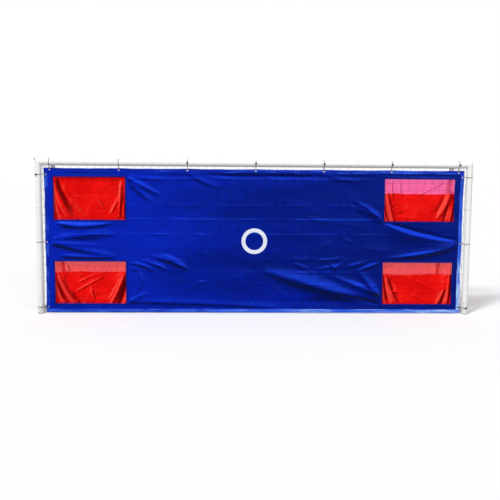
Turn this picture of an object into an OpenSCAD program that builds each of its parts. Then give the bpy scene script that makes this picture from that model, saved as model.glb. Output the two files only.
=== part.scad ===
// A goal with a target sheet: a white tubular goal, a sheet of cloth tied into its mouth with
// ball bungees, and a loose red flap behind each of the sheet's four corner openings.
// Millimetres, +Z up, the goal's mouth faces -Y, origin on the ground under the middle.

/* [Goal mouth] */
// Clear width between the posts
goal_w = 6000; // [5400:10:6600]
// Clear height under the crossbar
goal_h = 2100; // [1900:10:2400]
// Outside diameter of the posts and the crossbar
post_d = 90; // [80:1:100]
// Wall of the posts and the crossbar
post_wall = 3; // [2:0.5:5]
// Reach of a corner plug or crossbar plug into its tube
plug_len = 150; // [120:5:220]
// Height of the disc of a post's foot
foot_h = 6; // [4:1:12]
// Reach of a post's foot into its tube
foot_plug = 40; // [20:5:80]
// Size of the curved web inside the left top corner
web_size = 68; // [50:1:90]
// Thickness of the curved web inside the left top corner
web_t = 12; // [6:1:20]

/* [Rear frame] */
// Outside diameter of the rear tubes
arm_d = 50; // [42:1:56]
// Wall of the rear tubes
arm_wall = 2.5; // [1.5:0.5:4]
// Depth of the goal at the top
top_depth = 800; // [600:10:1000]
// Depth of the goal on the ground
ground_depth = 1500; // [1300:10:1900]
// Height of the ground tubes' axes
ground_z = 36; // [34:1:44]
// Wall of the sockets that hold the rear tubes
socket_wall = 5; // [4:0.5:6]
// Length of a socket's bore
socket_len = 65; // [50:1:90]
// Distance from a corner casting's centre to the floor of its sockets
socket_floor = 46; // [45:1:60]
// Diameter of the ball at the middle of a corner casting
casting_d = 80; // [76:1:88]
// Thickness of the solid end of a socket on a post
socket_end = 12; // [8:1:20]
// Reach of a rear bar's middle plug into each half
rear_plug = 120; // [90:5:160]

/* [Anchor plates] */
// Number of anchor plates on the rear ground bar
anchor_n = 4; // [2:1:5]
// Width of an anchor plate along the bar
anchor_w = 60; // [40:5:80]
// Reach of an anchor plate behind the bar's axis
anchor_reach = 80; // [70:5:110]
// Depth of the seat that an anchor plate has for the bar
anchor_seat = 2; // [1:0.5:4]
// Diameter of the peg hole in an anchor plate
anchor_hole = 16; // [10:1:22]
// Distance from the peg hole's centre to the plate's rear end
anchor_hole_edge = 25; // [18:1:35]

/* [Screws] */
// Diameter of a frame screw
screw_d = 8; // [6:1:10]
// Diameter of a screw's head
head_d = 15; // [13:1:18]
// Height of a screw's head
head_h = 4; // [3:0.5:5]
// Distance of a corner screw from the corner's middle
corner_screw = 115; // [90:5:115]
// Distance of a bar screw from the bar's middle
bar_screw = 70; // [50:5:80]

/* [Nets] */
// Thickness of the nets
net_t = 3; // [2:0.5:4]
// Width of a net's strands
strand_w = 8; // [6:1:12]
// Pitch of the nets' cells
net_pitch = 300; // [300:10:400]
// Space between a tube and the edge of a net
net_gap = 7; // [6.5:0.5:10]
// Thickness of a net clip's band
clip_t = 3; // [2:0.5:4]
// Width of a net clip
clip_w = 15; // [10:1:25]
// Reach of a net clip's lugs from the tube
clip_reach = 17; // [15:1:22]

/* [Target sheet] */
// Space between the sheet and a post
sheet_side = 30; // [20:1:70]
// Space between the sheet and the crossbar
sheet_head = 35; // [30:1:50]
// Height of the sheet's lower edge above the ground
sheet_z = 15; // [10:1:20]
// Thickness of the cloth
cloth_t = 3; // [2:0.5:4]
// Width of the hems
hem_w = 50; // [40:1:60]
// Thickness of the hems and of the openings' bindings
hem_t = 5; // [4:0.5:7]
// Width of an opening
opening_w = 1000; // [700:10:1200]
// Height of an opening
opening_h = 600; // [500:10:650]
// Distance from the sheet's side to an opening
opening_side = 130; // [110:5:180]
// Distance from the sheet's top to an upper opening
opening_top = 125; // [125:5:150]
// Distance from the sheet's foot to a lower opening
opening_foot = 130; // [110:5:150]
// Width of the binding round an opening
binding_w = 25; // [15:1:30]
// Scale of the heights of the sheet's folds
fold_scale = 1; // [0:0.1:1.5]

/* [Flaps] */
// Overlap of a flap beside its opening
flap_side = 40; // [30:1:60]
// Height of a flap's seam above its opening
flap_top = 40; // [30:1:45]
// Overlap of a flap below its opening
flap_foot = 60; // [30:5:80]
// Distance from the sheet's middle plane to a flap's seam
flap_y = 8; // [7:0.5:12]
// Fullness of a flap, front to back
flap_full = 40; // [10:1:60]
// Width of the tape that a flap hangs from
tape_w = 22; // [15:1:28]

/* [Eyelets and bungees] */
// Outside diameter of an eyelet
eyelet_d = 28; // [24:1:32]
// Diameter of an eyelet's hole
eyelet_hole = 14; // [12:1:16]
// Wall of an eyelet's barrel
eyelet_wall = 1.8; // [1:0.2:2.5]
// Thickness of an eyelet's flange
flange_t = 1.5; // [1:0.1:2]
// Distance from an eyelet's centre to the sheet's edge
eyelet_in = 25; // [22:1:28]
// Number of eyelets along the top
top_n = 7; // [5:1:9]
// Distance from the sheet's side to the first eyelet along the top
top_in = 80; // [75:5:120]
// Distance from the sheet's top to the upper side eyelets
side_high = 95; // [90:5:150]
// Height of the middle side eyelets above the sheet's foot
side_mid = 1005; // [900:5:1100]
// Height of the lower side eyelets above the sheet's foot
side_low = 80; // [75:1:100]
// Diameter of the bungee cord
cord_d = 5.5; // [4:0.5:6]
// Diameter of a bungee's ball
ball_d = 28; // [24:1:32]

/* [Hidden] */
$fn = 48;

// Clearances: a sliding fit, a soft piece beside its neighbour, a thing that goes far past a face
fit = 0.1;
soft_gap = 0.3;
over = 1;

// Frame
post_r = post_d / 2;
post_x = goal_w / 2 + post_r;
bar_z = goal_h + post_r;
plug_r = post_r - post_wall - fit;
arm_r = arm_d / 2;
socket_r = arm_r + socket_wall;
socket_y = post_r + socket_end + socket_len;
casting_r = casting_d / 2;
top_corner = [0, top_depth, bar_z];
ground_corner = [0, ground_depth, ground_z];
stay = ground_corner - top_corner;
stay_len = norm(stay);
stay_dir = stay / stay_len;
stay_lean = atan2(stay[1], -stay[2]);
rear_plug_r = arm_r - arm_wall - fit;
butt = 0.5;
tube_end = socket_floor + butt;
casting_screw = socket_floor + socket_len / 2;
post_bite = 15;
rear_bite = 10;
socket_bite = 2;
post_screw_depth = post_wall + post_bite;
socket_screw_depth = socket_wall + arm_wall + socket_bite;
rear_screw_depth = arm_wall + rear_bite;

// Sheet
sheet_x = goal_w / 2 - sheet_side;
sheet_top = goal_h - sheet_head;
open_x1 = sheet_x - opening_side;
open_x0 = open_x1 - opening_w;
high_z1 = sheet_top - opening_top;
high_z0 = high_z1 - opening_h;
low_z0 = sheet_z + opening_foot;
low_z1 = low_z0 + opening_h;
fade_len = 60;
fold_front = 38;
fold_back = 20;
tape_clear = 8;

// Flaps: how far a flap stands off below its seam, the share of its height that it takes to do so,
// and the angle that its folds run through from its middle to its side
flap_stand = 12;
flap_gather = 0.2;
flap_turn = 540;
seam_gap = 0.6;
seam_half = 0.5;

// Bungees
cord_r = cord_d / 2;
ball_r = ball_d / 2;
arc_n = 10;
cord_sides = 6;
seat_gap = 0.4;
ball_reach = post_r + ball_r + seat_gap;
top_drop = bar_z - sheet_top + eyelet_in;
side_drop = post_x - sheet_x + eyelet_in;
top_pitch = 2 * (sheet_x - top_in) / (top_n - 1);
top_eyelets = [for (i = [0 : top_n - 1]) (i - (top_n - 1) / 2) * top_pitch];
side_heights = [sheet_top - side_high, sheet_z + side_mid, sheet_z + side_low];
arc_part = 0.65;
cord_seat = eyelet_hole / 2 - cord_r - seat_gap;
flange_out = 1.5;
cord_turn = hem_t / 2 + flange_t + flange_out;
groove_gap = 1.2;
groove_out = 0.5;
behind = 160;
left_ball_angles = [24, behind, behind];
right_ball_angles = [behind, behind, 0];
tail_angle = 52;

// The origin lies under the middle of the whole object's depth
front_y = -post_r - seat_gap - ball_d;
rear_y = ground_depth + anchor_reach;
mid_y = (front_y + rear_y) / 2;

frame_white = [0.95, 0.96, 0.95];
cloth_blue = [0.02, 0.1, 0.62];
hem_blue = [0.1, 0.25, 0.8];
flap_red = [0.9, 0.1, 0.08];
net_white = [0.9, 0.9, 0.88];
rubber_black = [0.05, 0.05, 0.07];
steel = [0.75, 0.76, 0.78];

module put(colour) {
    color(colour) translate([0, -mid_y, 0]) children();
}

// Turns +Z to a direction
module along(dir) {
    rotate([0, acos(dir[2]), atan2(dir[1], dir[0])]) children();
}

module beam_x(r, x0, x1) {
    translate([x0, 0, 0]) rotate([0, 90, 0]) cylinder(r = r, h = x1 - x0);
}

// ---- Screws ----

// A screw along +Z in a tube of radius r that lies along X
module screw(r, depth) {
    difference() {
        translate([0, 0, r - head_h]) cylinder(d = head_d, h = 2 * head_h);
        beam_x(r, -head_d, head_d);
    }
    translate([0, 0, r - depth]) cylinder(d = screw_d, h = depth + head_h / 2);
}

module screw_hole(r, depth) {
    translate([0, 0, r - depth - over]) cylinder(d = screw_d + 2 * fit, h = depth + 2 * over);
}

// Places of the screws behind one end of the crossbar and its post
module corner_screws(side) {
    translate([side * (post_x - corner_screw), 0, bar_z]) rotate([-90, 0, 0]) children();
    translate([side * post_x, 0, bar_z - corner_screw]) rotate([-90, 0, 0]) rotate([0, 0, 90])
        children();
}

// Places of the screws behind the joint in the middle of a bar
module bar_screws(at) {
    for (side = [-1, 1]) {
        translate(at + [side * bar_screw, 0, 0]) rotate([-90, 0, 0]) children();
    }
}

// Place of a screw in a socket that runs along dir, turned about it
module socket_screw(dir, turn, reach) {
    along(dir) translate([0, 0, reach]) rotate([0, 0, turn]) rotate([0, 90, 0]) children();
}

// ---- Goal mouth ----

// The half of space over or under the mitre of a corner
module mitre_side(side, up) {
    size = 4 * post_d;
    translate([side * post_x, 0, bar_z]) rotate([0, -side * 45, 0])
        translate([-size / 2, -size / 2, up ? 0 : -size]) cube(size);
}

// A round bar of radius r up a post from height z0, mitred where the crossbar meets it
module mitred_post(side, r, z0) {
    difference() {
        translate([side * post_x, 0, z0]) cylinder(r = r, h = bar_z + post_d - z0);
        mitre_side(side, true);
    }
}

// A round bar of radius r along one half of the crossbar from x0, mitred at the corner
module mitred_bar(side, r, x0) {
    x1 = post_x + post_d;
    difference() {
        translate([0, 0, bar_z]) beam_x(r, side > 0 ? x0 : -x1, side > 0 ? x1 : -x0);
        mitre_side(side, false);
    }
}

module post(side) {
    put(frame_white) difference() {
        mitred_post(side, post_r, foot_h);
        translate([side * post_x, 0, 0]) cylinder(r = post_r - post_wall, h = bar_z + post_d);
        corner_screws(side) screw_hole(post_r, post_screw_depth);
    }
}

module left_post() {
    post(-1);
}

module right_post() {
    post(1);
}

module crossbar(side) {
    put(frame_white) difference() {
        mitred_bar(side, post_r, 0);
        translate([0, 0, bar_z]) beam_x(post_r - post_wall, -post_x - post_d, post_x + post_d);
        corner_screws(side) screw_hole(post_r, post_screw_depth);
        bar_screws([0, 0, bar_z]) screw_hole(post_r, post_screw_depth);
    }
}

module left_crossbar() {
    crossbar(-1);
}

module right_crossbar() {
    crossbar(1);
}

module crossbar_plug() {
    put(steel) difference() {
        translate([0, 0, bar_z]) beam_x(plug_r, -plug_len, plug_len);
        bar_screws([0, 0, bar_z]) screw_hole(post_r, post_screw_depth);
    }
}

// Two round legs that a square core joins inside the mitre
module corner_plug(side) {
    leg = plug_len - plug_r - over;
    core = plug_r / sqrt(2) - over;
    reach = core + plug_r + 2 * over;
    put(steel) translate([side * post_x, 0, bar_z]) difference() {
        union() {
            translate([0, 0, -plug_len]) cylinder(r = plug_r, h = leg);
            along([-side, 0, 0]) translate([0, 0, plug_len - leg]) cylinder(r = plug_r, h = leg);
            translate([-core, -core, -reach + core]) cube([2 * core, 2 * core, reach]);
            translate([side > 0 ? -reach + core : -core, -core, -core]) cube([reach, 2 * core, 2 * core]);
        }
        translate([-side * post_x, 0, -bar_z]) corner_screws(side) screw_hole(post_r, post_screw_depth);
    }
}

module left_corner_plug() {
    corner_plug(-1);
}

module right_corner_plug() {
    corner_plug(1);
}

// The web fills the corner under the crossbar up to a hollow curve
module left_corner_web() {
    low = goal_h - web_size;
    inner = goal_w / 2 - web_size;
    put(frame_white) difference() {
        rotate([90, 0, 0]) linear_extrude(web_t, center = true) difference() {
            translate([-post_x, low]) square(web_size + post_r);
            translate([-inner, low]) circle(r = web_size);
        }
        translate([-post_x, 0, 0]) cylinder(r = post_r, h = bar_z + post_d);
        translate([0, 0, bar_z]) beam_x(post_r, -post_x - post_d, post_x + post_d);
    }
}

module post_feet() {
    put(rubber_black) for (side = [-1, 1]) {
        translate([side * post_x, 0, 0]) union() {
            cylinder(r = post_r, h = foot_h);
            cylinder(r = post_r - post_wall - fit, h = foot_h + foot_plug);
        }
    }
}

module post_screws() {
    put(steel) {
        for (side = [-1, 1]) {
            corner_screws(side) screw(post_r, post_screw_depth);
        }
        bar_screws([0, 0, bar_z]) screw(post_r, post_screw_depth);
    }
}

// ---- Rear frame ----

// The room that a post, half the crossbar and the corner between them take up
module mouth_tubes(side) {
    translate([side * post_x, 0, 0]) cylinder(r = post_r, h = bar_z);
    translate([0, 0, bar_z]) beam_x(post_r, side > 0 ? 0 : -post_x, side > 0 ? post_x : 0);
    intersection() {
        translate([side * post_x, 0, bar_z - post_d]) cylinder(r = post_r, h = 2 * post_d);
        translate([side * post_x, 0, bar_z]) beam_x(post_r, -post_d, post_d);
    }
}

// A socket that stands out behind a post at height z and takes a rear tube
module post_socket(side, z) {
    put(frame_white) difference() {
        translate([side * post_x, 0, z]) along([0, 1, 0]) cylinder(r = socket_r, h = socket_y);
        mouth_tubes(side);
        translate([side * post_x, post_r + socket_end, z]) along([0, 1, 0])
            cylinder(r = arm_r + fit, h = socket_len + over);
        translate([side * post_x, 0, z])
            socket_screw([0, 1, 0], -side * 90, socket_y - socket_len / 2)
            screw_hole(socket_r, socket_screw_depth);
    }
}

module left_arm_socket() {
    post_socket(-1, bar_z);
}

module right_arm_socket() {
    post_socket(1, bar_z);
}

module left_ground_socket() {
    post_socket(-1, ground_z);
}

module right_ground_socket() {
    post_socket(1, ground_z);
}

// A rear tube along dir, from s0 to s1 past the casting at `at`, screwed at each of `screws`
module rear_tube(side, at, dir, s0, s1, turn, screws) {
    put(frame_white) translate([side * post_x, 0, 0] + at) difference() {
        along(dir) translate([0, 0, s0]) cylinder(r = arm_r, h = s1 - s0);
        along(dir) translate([0, 0, s0 - over]) cylinder(r = arm_r - arm_wall, h = s1 - s0 + 2 * over);
        for (reach = screws) {
            socket_screw(dir, turn, reach) screw_hole(socket_r, socket_screw_depth);
        }
    }
}

// Screws at both ends of a tube between a casting and a post's socket
function side_screws(depth) = [casting_screw, depth - post_r - socket_end - socket_len / 2];

module top_arm(side) {
    end = top_depth - post_r - socket_end - butt;
    rear_tube(side, top_corner, [0, -1, 0], tube_end, end, side * 90, side_screws(top_depth));
}

module left_top_arm() {
    top_arm(-1);
}

module right_top_arm() {
    top_arm(1);
}

module ground_bar(side) {
    end = ground_depth - post_r - socket_end - butt;
    rear_tube(side, ground_corner, [0, -1, 0], tube_end, end, side * 90, side_screws(ground_depth));
}

module left_ground_bar() {
    ground_bar(-1);
}

module right_ground_bar() {
    ground_bar(1);
}

module back_stay(side) {
    screws = [casting_screw, stay_len - casting_screw];
    rear_tube(side, top_corner, stay_dir, tube_end, stay_len - tube_end, -side * 90, screws);
}

module left_back_stay() {
    back_stay(-1);
}

module right_back_stay() {
    back_stay(1);
}

// Half of a bar across the back, from its casting to the middle
module rear_bar(side, at) {
    screws = [casting_screw, post_x - bar_screw];
    rear_tube(side, at, [-side, 0, 0], tube_end, post_x, -side * 90, screws);
}

module left_rear_top_bar() {
    rear_bar(-1, top_corner);
}

module right_rear_top_bar() {
    rear_bar(1, top_corner);
}

module left_rear_ground_bar() {
    rear_bar(-1, ground_corner);
}

module right_rear_ground_bar() {
    rear_bar(1, ground_corner);
}

module rear_bar_plugs() {
    put(steel) for (at = [top_corner, ground_corner]) {
        difference() {
            translate(at) beam_x(rear_plug_r, -rear_plug, rear_plug);
            bar_screws(at) screw_hole(arm_r, rear_screw_depth);
        }
    }
}

// A corner casting: a ball with three sockets; `ways` lists each socket's direction and turn
module casting(side, at, ways) {
    put(frame_white) translate([side * post_x, 0, 0] + at) difference() {
        union() {
            sphere(r = casting_r);
            for (way = ways) {
                along(way[0]) cylinder(r = socket_r, h = socket_floor + socket_len);
            }
        }
        for (way = ways) {
            along(way[0]) translate([0, 0, socket_floor]) cylinder(r = arm_r + fit, h = socket_len + over);
            socket_screw(way[0], way[1], casting_screw) screw_hole(socket_r, socket_screw_depth);
        }
        translate([-post_d, -post_d, -at[2] - post_d]) cube([2 * post_d, 2 * post_d, post_d]);
    }
}

function top_ways(side) = [
    [[0, -1, 0], side * 90],
    [stay_dir, -side * 90],
    [[-side, 0, 0], -side * 90]
];

function ground_ways(side) = [
    [[0, -1, 0], side * 90],
    [-stay_dir, side * 90],
    [[-side, 0, 0], -side * 90]
];

module left_top_casting() {
    casting(-1, top_corner, top_ways(-1));
}

module right_top_casting() {
    casting(1, top_corner, top_ways(1));
}

module left_ground_casting() {
    casting(-1, ground_corner, ground_ways(-1));
}

module right_ground_casting() {
    casting(1, ground_corner, ground_ways(1));
}

module socket_screws() {
    put(steel) {
        for (side = [-1, 1]) {
            for (z = [bar_z, ground_z]) {
                translate([side * post_x, 0, z])
                    socket_screw([0, 1, 0], -side * 90, socket_y - socket_len / 2)
                    screw(socket_r, socket_screw_depth);
            }
            for (way = top_ways(side)) {
                translate([side * post_x, 0, 0] + top_corner)
                    socket_screw(way[0], way[1], casting_screw)
                    screw(socket_r, socket_screw_depth);
            }
            for (way = ground_ways(side)) {
                translate([side * post_x, 0, 0] + ground_corner)
                    socket_screw(way[0], way[1], casting_screw)
                    screw(socket_r, socket_screw_depth);
            }
        }
        for (at = [top_corner, ground_corner]) {
            bar_screws(at) screw(arm_r, rear_screw_depth);
        }
    }
}

// Plates under the rear ground bar, each with a hole for a ground peg
module anchor_plates() {
    plate_h = ground_z - arm_r + anchor_seat;
    pitch = goal_w / (anchor_n + 0.5);
    put(steel) for (i = [0 : anchor_n - 1]) {
        translate([(i - (anchor_n - 1) / 2) * pitch, ground_depth, 0]) difference() {
            translate([-anchor_w / 2, -anchor_w / 2, 0])
                cube([anchor_w, anchor_w / 2 + anchor_reach, plate_h]);
            translate([0, 0, ground_z]) beam_x(arm_r, -anchor_w, anchor_w);
            translate([0, anchor_reach - anchor_hole_edge, -over])
                cylinder(d = anchor_hole, h = plate_h + 2 * over);
        }
    }
}

// ---- Nets ----

net_in = arm_r + net_gap;
net_x = post_x - net_in;
mouth_in = post_r + net_gap;

// A rectangular net with its corners at lo and hi
module net_2d(lo, hi) {
    size = hi - lo;
    nx = round(size[0] / net_pitch);
    ny = round(size[1] / net_pitch);
    px = (size[0] - strand_w) / nx;
    py = (size[1] - strand_w) / ny;
    difference() {
        translate(lo) square(size);
        for (i = [0 : nx - 1], j = [0 : ny - 1]) {
            translate(lo + [strand_w + i * px, strand_w + j * py]) square([px - strand_w, py - strand_w]);
        }
    }
}

// Room for the castings at the corners of a net
module casting_room(places) {
    for (place = places) {
        translate(place) circle(r = casting_r + net_gap / 2);
    }
}

module roof_net() {
    put(net_white) translate([0, 0, bar_z]) linear_extrude(net_t, center = true) difference() {
        net_2d([-net_x, mouth_in], [net_x, top_depth - net_in]);
        casting_room([[-post_x, top_depth], [post_x, top_depth]]);
    }
}

module back_net() {
    put(net_white) translate(ground_corner) rotate([90 + stay_lean, 0, 0])
        linear_extrude(net_t, center = true) difference() {
            net_2d([-net_x, net_in], [net_x, stay_len - net_in]);
            casting_room([[-post_x, stay_len], [post_x, stay_len], [-post_x, 0], [post_x, 0]]);
        }
}

// The outline of a side net in Y and Z, drawn in from the tubes' surfaces by `inset`
function stay_y(z, inset) = top_depth + (bar_z - z) * tan(stay_lean) - (arm_r + inset) / cos(stay_lean);
function side_outline(inset) = let (
    low = ground_z + arm_r + inset,
    high = bar_z - arm_r - inset,
    front = post_r + inset
) [[front, low], [stay_y(low, inset), low], [stay_y(high, inset), high], [front, high]];

module side_net(side) {
    outer = side_outline(net_gap);
    nx = round((outer[1][0] - outer[0][0]) / net_pitch);
    ny = round((outer[2][1] - outer[1][1]) / net_pitch);
    px = (outer[1][0] - outer[0][0] - strand_w) / nx;
    py = (outer[2][1] - outer[1][1] - strand_w) / ny;
    put(net_white) translate([side * post_x, 0, 0]) rotate([90, 0, 90])
        linear_extrude(net_t, center = true) difference() {
            polygon(outer);
            intersection() {
                polygon(side_outline(net_gap + strand_w));
                for (i = [0 : nx - 1], j = [0 : ny - 1]) {
                    translate(outer[0] + [strand_w + i * px, strand_w + j * py])
                        square([px - strand_w, py - strand_w]);
                }
            }
            casting_room([[top_depth, bar_z], [ground_depth, ground_z]]);
        }
}

module left_net() {
    side_net(-1);
}

module right_net() {
    side_net(1);
}

// A band round a tube of radius r along Z, with two lugs that grip a net on its +X side
module clip(r) {
    lug_y = net_t / 2 + seat_gap;
    difference() {
        union() {
            cylinder(r = r + fit + clip_t, h = clip_w, center = true);
            translate([0, -lug_y - clip_t, -clip_w / 2]) cube([r + clip_reach, 2 * (lug_y + clip_t), clip_w]);
        }
        cylinder(r = r + fit, h = clip_w + 2 * over, center = true);
        translate([r, -lug_y, -clip_w]) cube([clip_reach + over, 2 * lug_y, 2 * clip_w]);
    }
}

// A clip at a place on a tube that runs along dir, its lugs turned about it
module clip_at(at, dir, turn, r) {
    translate(at) along(dir) rotate([0, 0, turn]) clip(r);
}

// Places of the clips, as parts of the length of the tube that they sit on
post_clips = [0.25, 0.72];
arm_clips = [0.45, 0.6];
side_clips = [0.3, 0.7];
clip_shift = 0.06;

module net_clips() {
    across = [for (i = [0 : top_n - 2]) (top_eyelets[i] + top_eyelets[i + 1]) / 2];
    put(net_white) {
        for (x = across) {
            clip_at([x, 0, bar_z], [1, 0, 0], 90, post_r);
            clip_at([x, top_depth, bar_z], [1, 0, 0], -90, arm_r);
            clip_at([x + 4 * clip_w, top_depth, bar_z], [1, 0, 0], stay_lean, arm_r);
            clip_at([x, ground_depth, ground_z], [1, 0, 0], 180 + stay_lean, arm_r);
        }
        for (side = [-1, 1]) {
            for (part = post_clips) {
                clip_at([side * post_x, 0, part * goal_h], [0, 0, 1], 90, post_r);
            }
            clip_at([side * post_x, arm_clips[0] * top_depth, bar_z], [0, -1, 0], 0, arm_r);
            clip_at([side * post_x, arm_clips[1] * top_depth, bar_z], [0, -1, 0], -side * 90, arm_r);
            for (part = side_clips) {
                corner = [side * post_x, 0, 0] + top_corner;
                clip_at([side * post_x, part * ground_depth, ground_z], [0, -1, 0], 180, arm_r);
                clip_at(corner + part * stay, stay_dir, 0, arm_r);
                clip_at(corner + (part + clip_shift) * stay, stay_dir, side * 90, arm_r);
            }
        }
    }
}

// ---- Target sheet ----

// Numbers from a to b in n even steps
function steps(a, b, n) = [for (i = [0 : n]) a + (b - a) * i / n];

// One triangle pair for a four-cornered face
function halves(q) = [[q[0], q[1], q[2]], [q[0], q[2], q[3]]];

// A closed sheet of cloth over the grid xs by zs. mid(x, z) is the cloth's middle in Y, and
// half(x, z) is half its thickness.
module cloth(xs, zs, mid, half) {
    nx = len(xs);
    nz = len(zs);
    count = nx * nz;
    f = function (i, j) j * nx + i;
    b = function (i, j) count + j * nx + i;
    points = [for (way = [-1, 1], z = zs, x = xs) [x, mid(x, z) + way * half(x, z), z]];
    faces = [for (j = [0 : nz - 2], i = [0 : nx - 2]) each [
        [f(i, j), f(i, j + 1), f(i + 1, j + 1), f(i + 1, j)],
        [b(i, j), b(i + 1, j), b(i + 1, j + 1), b(i, j + 1)]
    ]];
    sides = [for (j = [0 : nz - 2]) each [
        [b(0, j), b(0, j + 1), f(0, j + 1), f(0, j)],
        [f(nx - 1, j), f(nx - 1, j + 1), b(nx - 1, j + 1), b(nx - 1, j)]
    ]];
    ends = [for (i = [0 : nx - 2]) each [
        [f(i + 1, 0), b(i + 1, 0), b(i, 0), f(i, 0)],
        [f(i + 1, nz - 1), f(i, nz - 1), b(i, nz - 1), b(i + 1, nz - 1)]
    ]];
    polyhedron(points, [for (q = concat(faces, sides, ends)) each halves(q)]);
}

// Folds of the sheet, each along a line from [x, z] to [x, z], with its height to the rear and
// its half width
folds = [
    [[400, 580], [1780, 200], -36, 110],
    [[110, 590], [650, 330], 18, 100],
    [[1220, 480], [1780, 260], 16, 70],
    [[1580, 560], [1790, 240], -20, 80],
    [[-1900, 2000], [-1400, 1700], -25, 90],
    [[-2760, 1260], [-2380, 1150], 16, 70],
    [[-2380, 1150], [-1980, 1250], 16, 70],
    [[-2800, 1040], [-2260, 1130], -24, 70],
    [[-2830, 900], [-2400, 840], 14, 60],
    [[-2690, 850], [-2190, 830], -18, 60],
    [[-1420, 850], [-970, 620], -24, 70],
    [[-1780, 730], [-1560, 600], 14, 80],
    [[2860, 960], [2280, 880], -22, 70],
    [[1560, 1560], [1800, 1350], -18, 70],
    [[1880, 1200], [2850, 1050], -20, 70]
];

// Distance from a point to the line between two others
function line_gap(p, a, b) = let (
    ab = b - a,
    t = max(0, min(1, (p - a) * ab / (ab * ab)))
) norm(p - a - t * ab);

bind_x1 = open_x1 + binding_w + soft_gap;
bind_x0 = open_x0 - binding_w - soft_gap;
bind_low0 = low_z0 - binding_w - soft_gap;
bind_low1 = low_z1 + binding_w + soft_gap;
bind_high0 = high_z0 - binding_w - soft_gap;
bind_high1 = high_z1 + binding_w + soft_gap;
cloth_x = sheet_x - hem_w - soft_gap;
cloth_z0 = sheet_z + hem_w + soft_gap;
cloth_z1 = sheet_top - hem_w - soft_gap;
tape_z = low_z1 + flap_top + tape_w + tape_clear;

// Distance inside the range from a to b, below 0 outside it
function inside(v, a, b) = min(v - a, b - v);

// Distance from a point to the nearest hem, binding or tape, which are flat
function flat_gap(x, z) = let (
    over_openings = inside(abs(x), bind_x0, bind_x1),
    low = max(-over_openings, -inside(z, bind_low0, tape_z)),
    high = max(-over_openings, -inside(z, bind_high0, bind_high1))
) min(inside(x, -cloth_x, cloth_x), inside(z, cloth_z0, cloth_z1), low, high);

function fold_y(x, z) = let (fade = min(1, max(0, flat_gap(x, z)) / fade_len))
    fold_scale * fade * max(-fold_front, min(fold_back, sum([
        for (fold = folds) fold[2] * exp(-pow(line_gap([x, z], fold[0], fold[1]) / fold[3], 2))
    ])));

function sum(list) = len(list) == 0 ? 0 : [for (v = list) 1] * list;

// The sheet in panels that end at the openings, so that none of them bends round one
module target_sheet() {
    seam = soft_gap / 2;
    rows = concat([cloth_z0], steps(bind_low0, bind_low1, 4), steps(tape_z, bind_high0, 5),
        steps(bind_high0, bind_high1, 4), [cloth_z1]);
    full = [for (i = [0 : len(rows) - 1]) if (i == 0 || rows[i] > rows[i - 1]) rows[i]];
    below = [cloth_z0, bind_low0];
    between = concat([bind_low1], steps(tape_z, bind_high0, 5));
    above = [bind_high1, cloth_z1];
    put(cloth_blue) {
        panel(steps(-bind_x0 + seam, bind_x0 - seam, 20), full);
        for (side = [-1, 1]) {
            edge = side > 0 ? [bind_x1 + seam, cloth_x] : [-cloth_x, -bind_x1 - seam];
            inner = side > 0 ? bind_x0 : -bind_x1;
            panel(edge, full);
            for (zs = [below, between, above]) {
                panel(steps(inner + seam, inner + bind_x1 - bind_x0 - seam, 7), zs);
            }
        }
    }
}

module panel(xs, zs) {
    cloth(xs, zs, function (x, z) fold_y(x, z), function (x, z) cloth_t / 2);
}

// A flat band of the sheet's plane, hem_t thick
module band() {
    rotate([90, 0, 0]) linear_extrude(hem_t, center = true) children();
}

barrel_r = eyelet_hole / 2 + eyelet_wall;

module hem(lo, hi, holes) {
    put(hem_blue) band() difference() {
        translate(lo) square(hi - lo);
        for (hole = holes) {
            translate(hole) circle(r = barrel_r + fit);
        }
    }
}

top_places = [for (x = top_eyelets) [x, sheet_top - eyelet_in]];
function side_places(side) = [for (z = side_heights) [side * (sheet_x - eyelet_in), z]];

module top_hem() {
    hem([-sheet_x, sheet_top - hem_w], [sheet_x, sheet_top], top_places);
}

module bottom_hem() {
    hem([-sheet_x, sheet_z], [sheet_x, sheet_z + hem_w], []);
}

module left_hem() {
    hem([-sheet_x, cloth_z0], [-sheet_x + hem_w, cloth_z1], side_places(-1));
}

module right_hem() {
    hem([sheet_x - hem_w, cloth_z0], [sheet_x, cloth_z1], side_places(1));
}

// The binding sewn round an opening
module binding(side, z0) {
    x0 = side > 0 ? open_x0 : -open_x1;
    put(hem_blue) band() difference() {
        translate([x0 - binding_w, z0 - binding_w])
            square([opening_w + 2 * binding_w, opening_h + 2 * binding_w]);
        translate([x0, z0]) square([opening_w, opening_h]);
    }
}

module top_left_binding() {
    binding(-1, high_z0);
}

module top_right_binding() {
    binding(1, high_z0);
}

module bottom_left_binding() {
    binding(-1, low_z0);
}

module bottom_right_binding() {
    binding(1, low_z0);
}

module eyelets() {
    face = hem_t / 2;
    put(steel) for (place = concat(top_places, side_places(-1), side_places(1))) {
        translate([place[0], 0, place[1]]) rotate([90, 0, 0]) rotate_extrude() union() {
            translate([eyelet_hole / 2, -face - flange_t]) square([eyelet_wall, 2 * (face + flange_t)]);
            for (y = [-face - flange_t, face]) {
                translate([eyelet_hole / 2, y]) square([(eyelet_d - eyelet_hole) / 2, flange_t]);
            }
        }
    }
}

// ---- Flaps ----

flap_w = opening_w + 2 * flap_side;
flap_h = opening_h + flap_top + flap_foot;
open_mid = (open_x0 + open_x1) / 2;

// The tape behind the sheet that each flap hangs from
module flap_tapes() {
    y0 = cloth_t / 2 + soft_gap;
    put(cloth_blue) for (side = [-1, 1], z = [low_z1, high_z1]) {
        translate([side * open_mid - flap_w / 2, y0, z + flap_top + seam_gap])
            cube([flap_w, flap_y - y0, tape_w]);
    }
}

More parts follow.
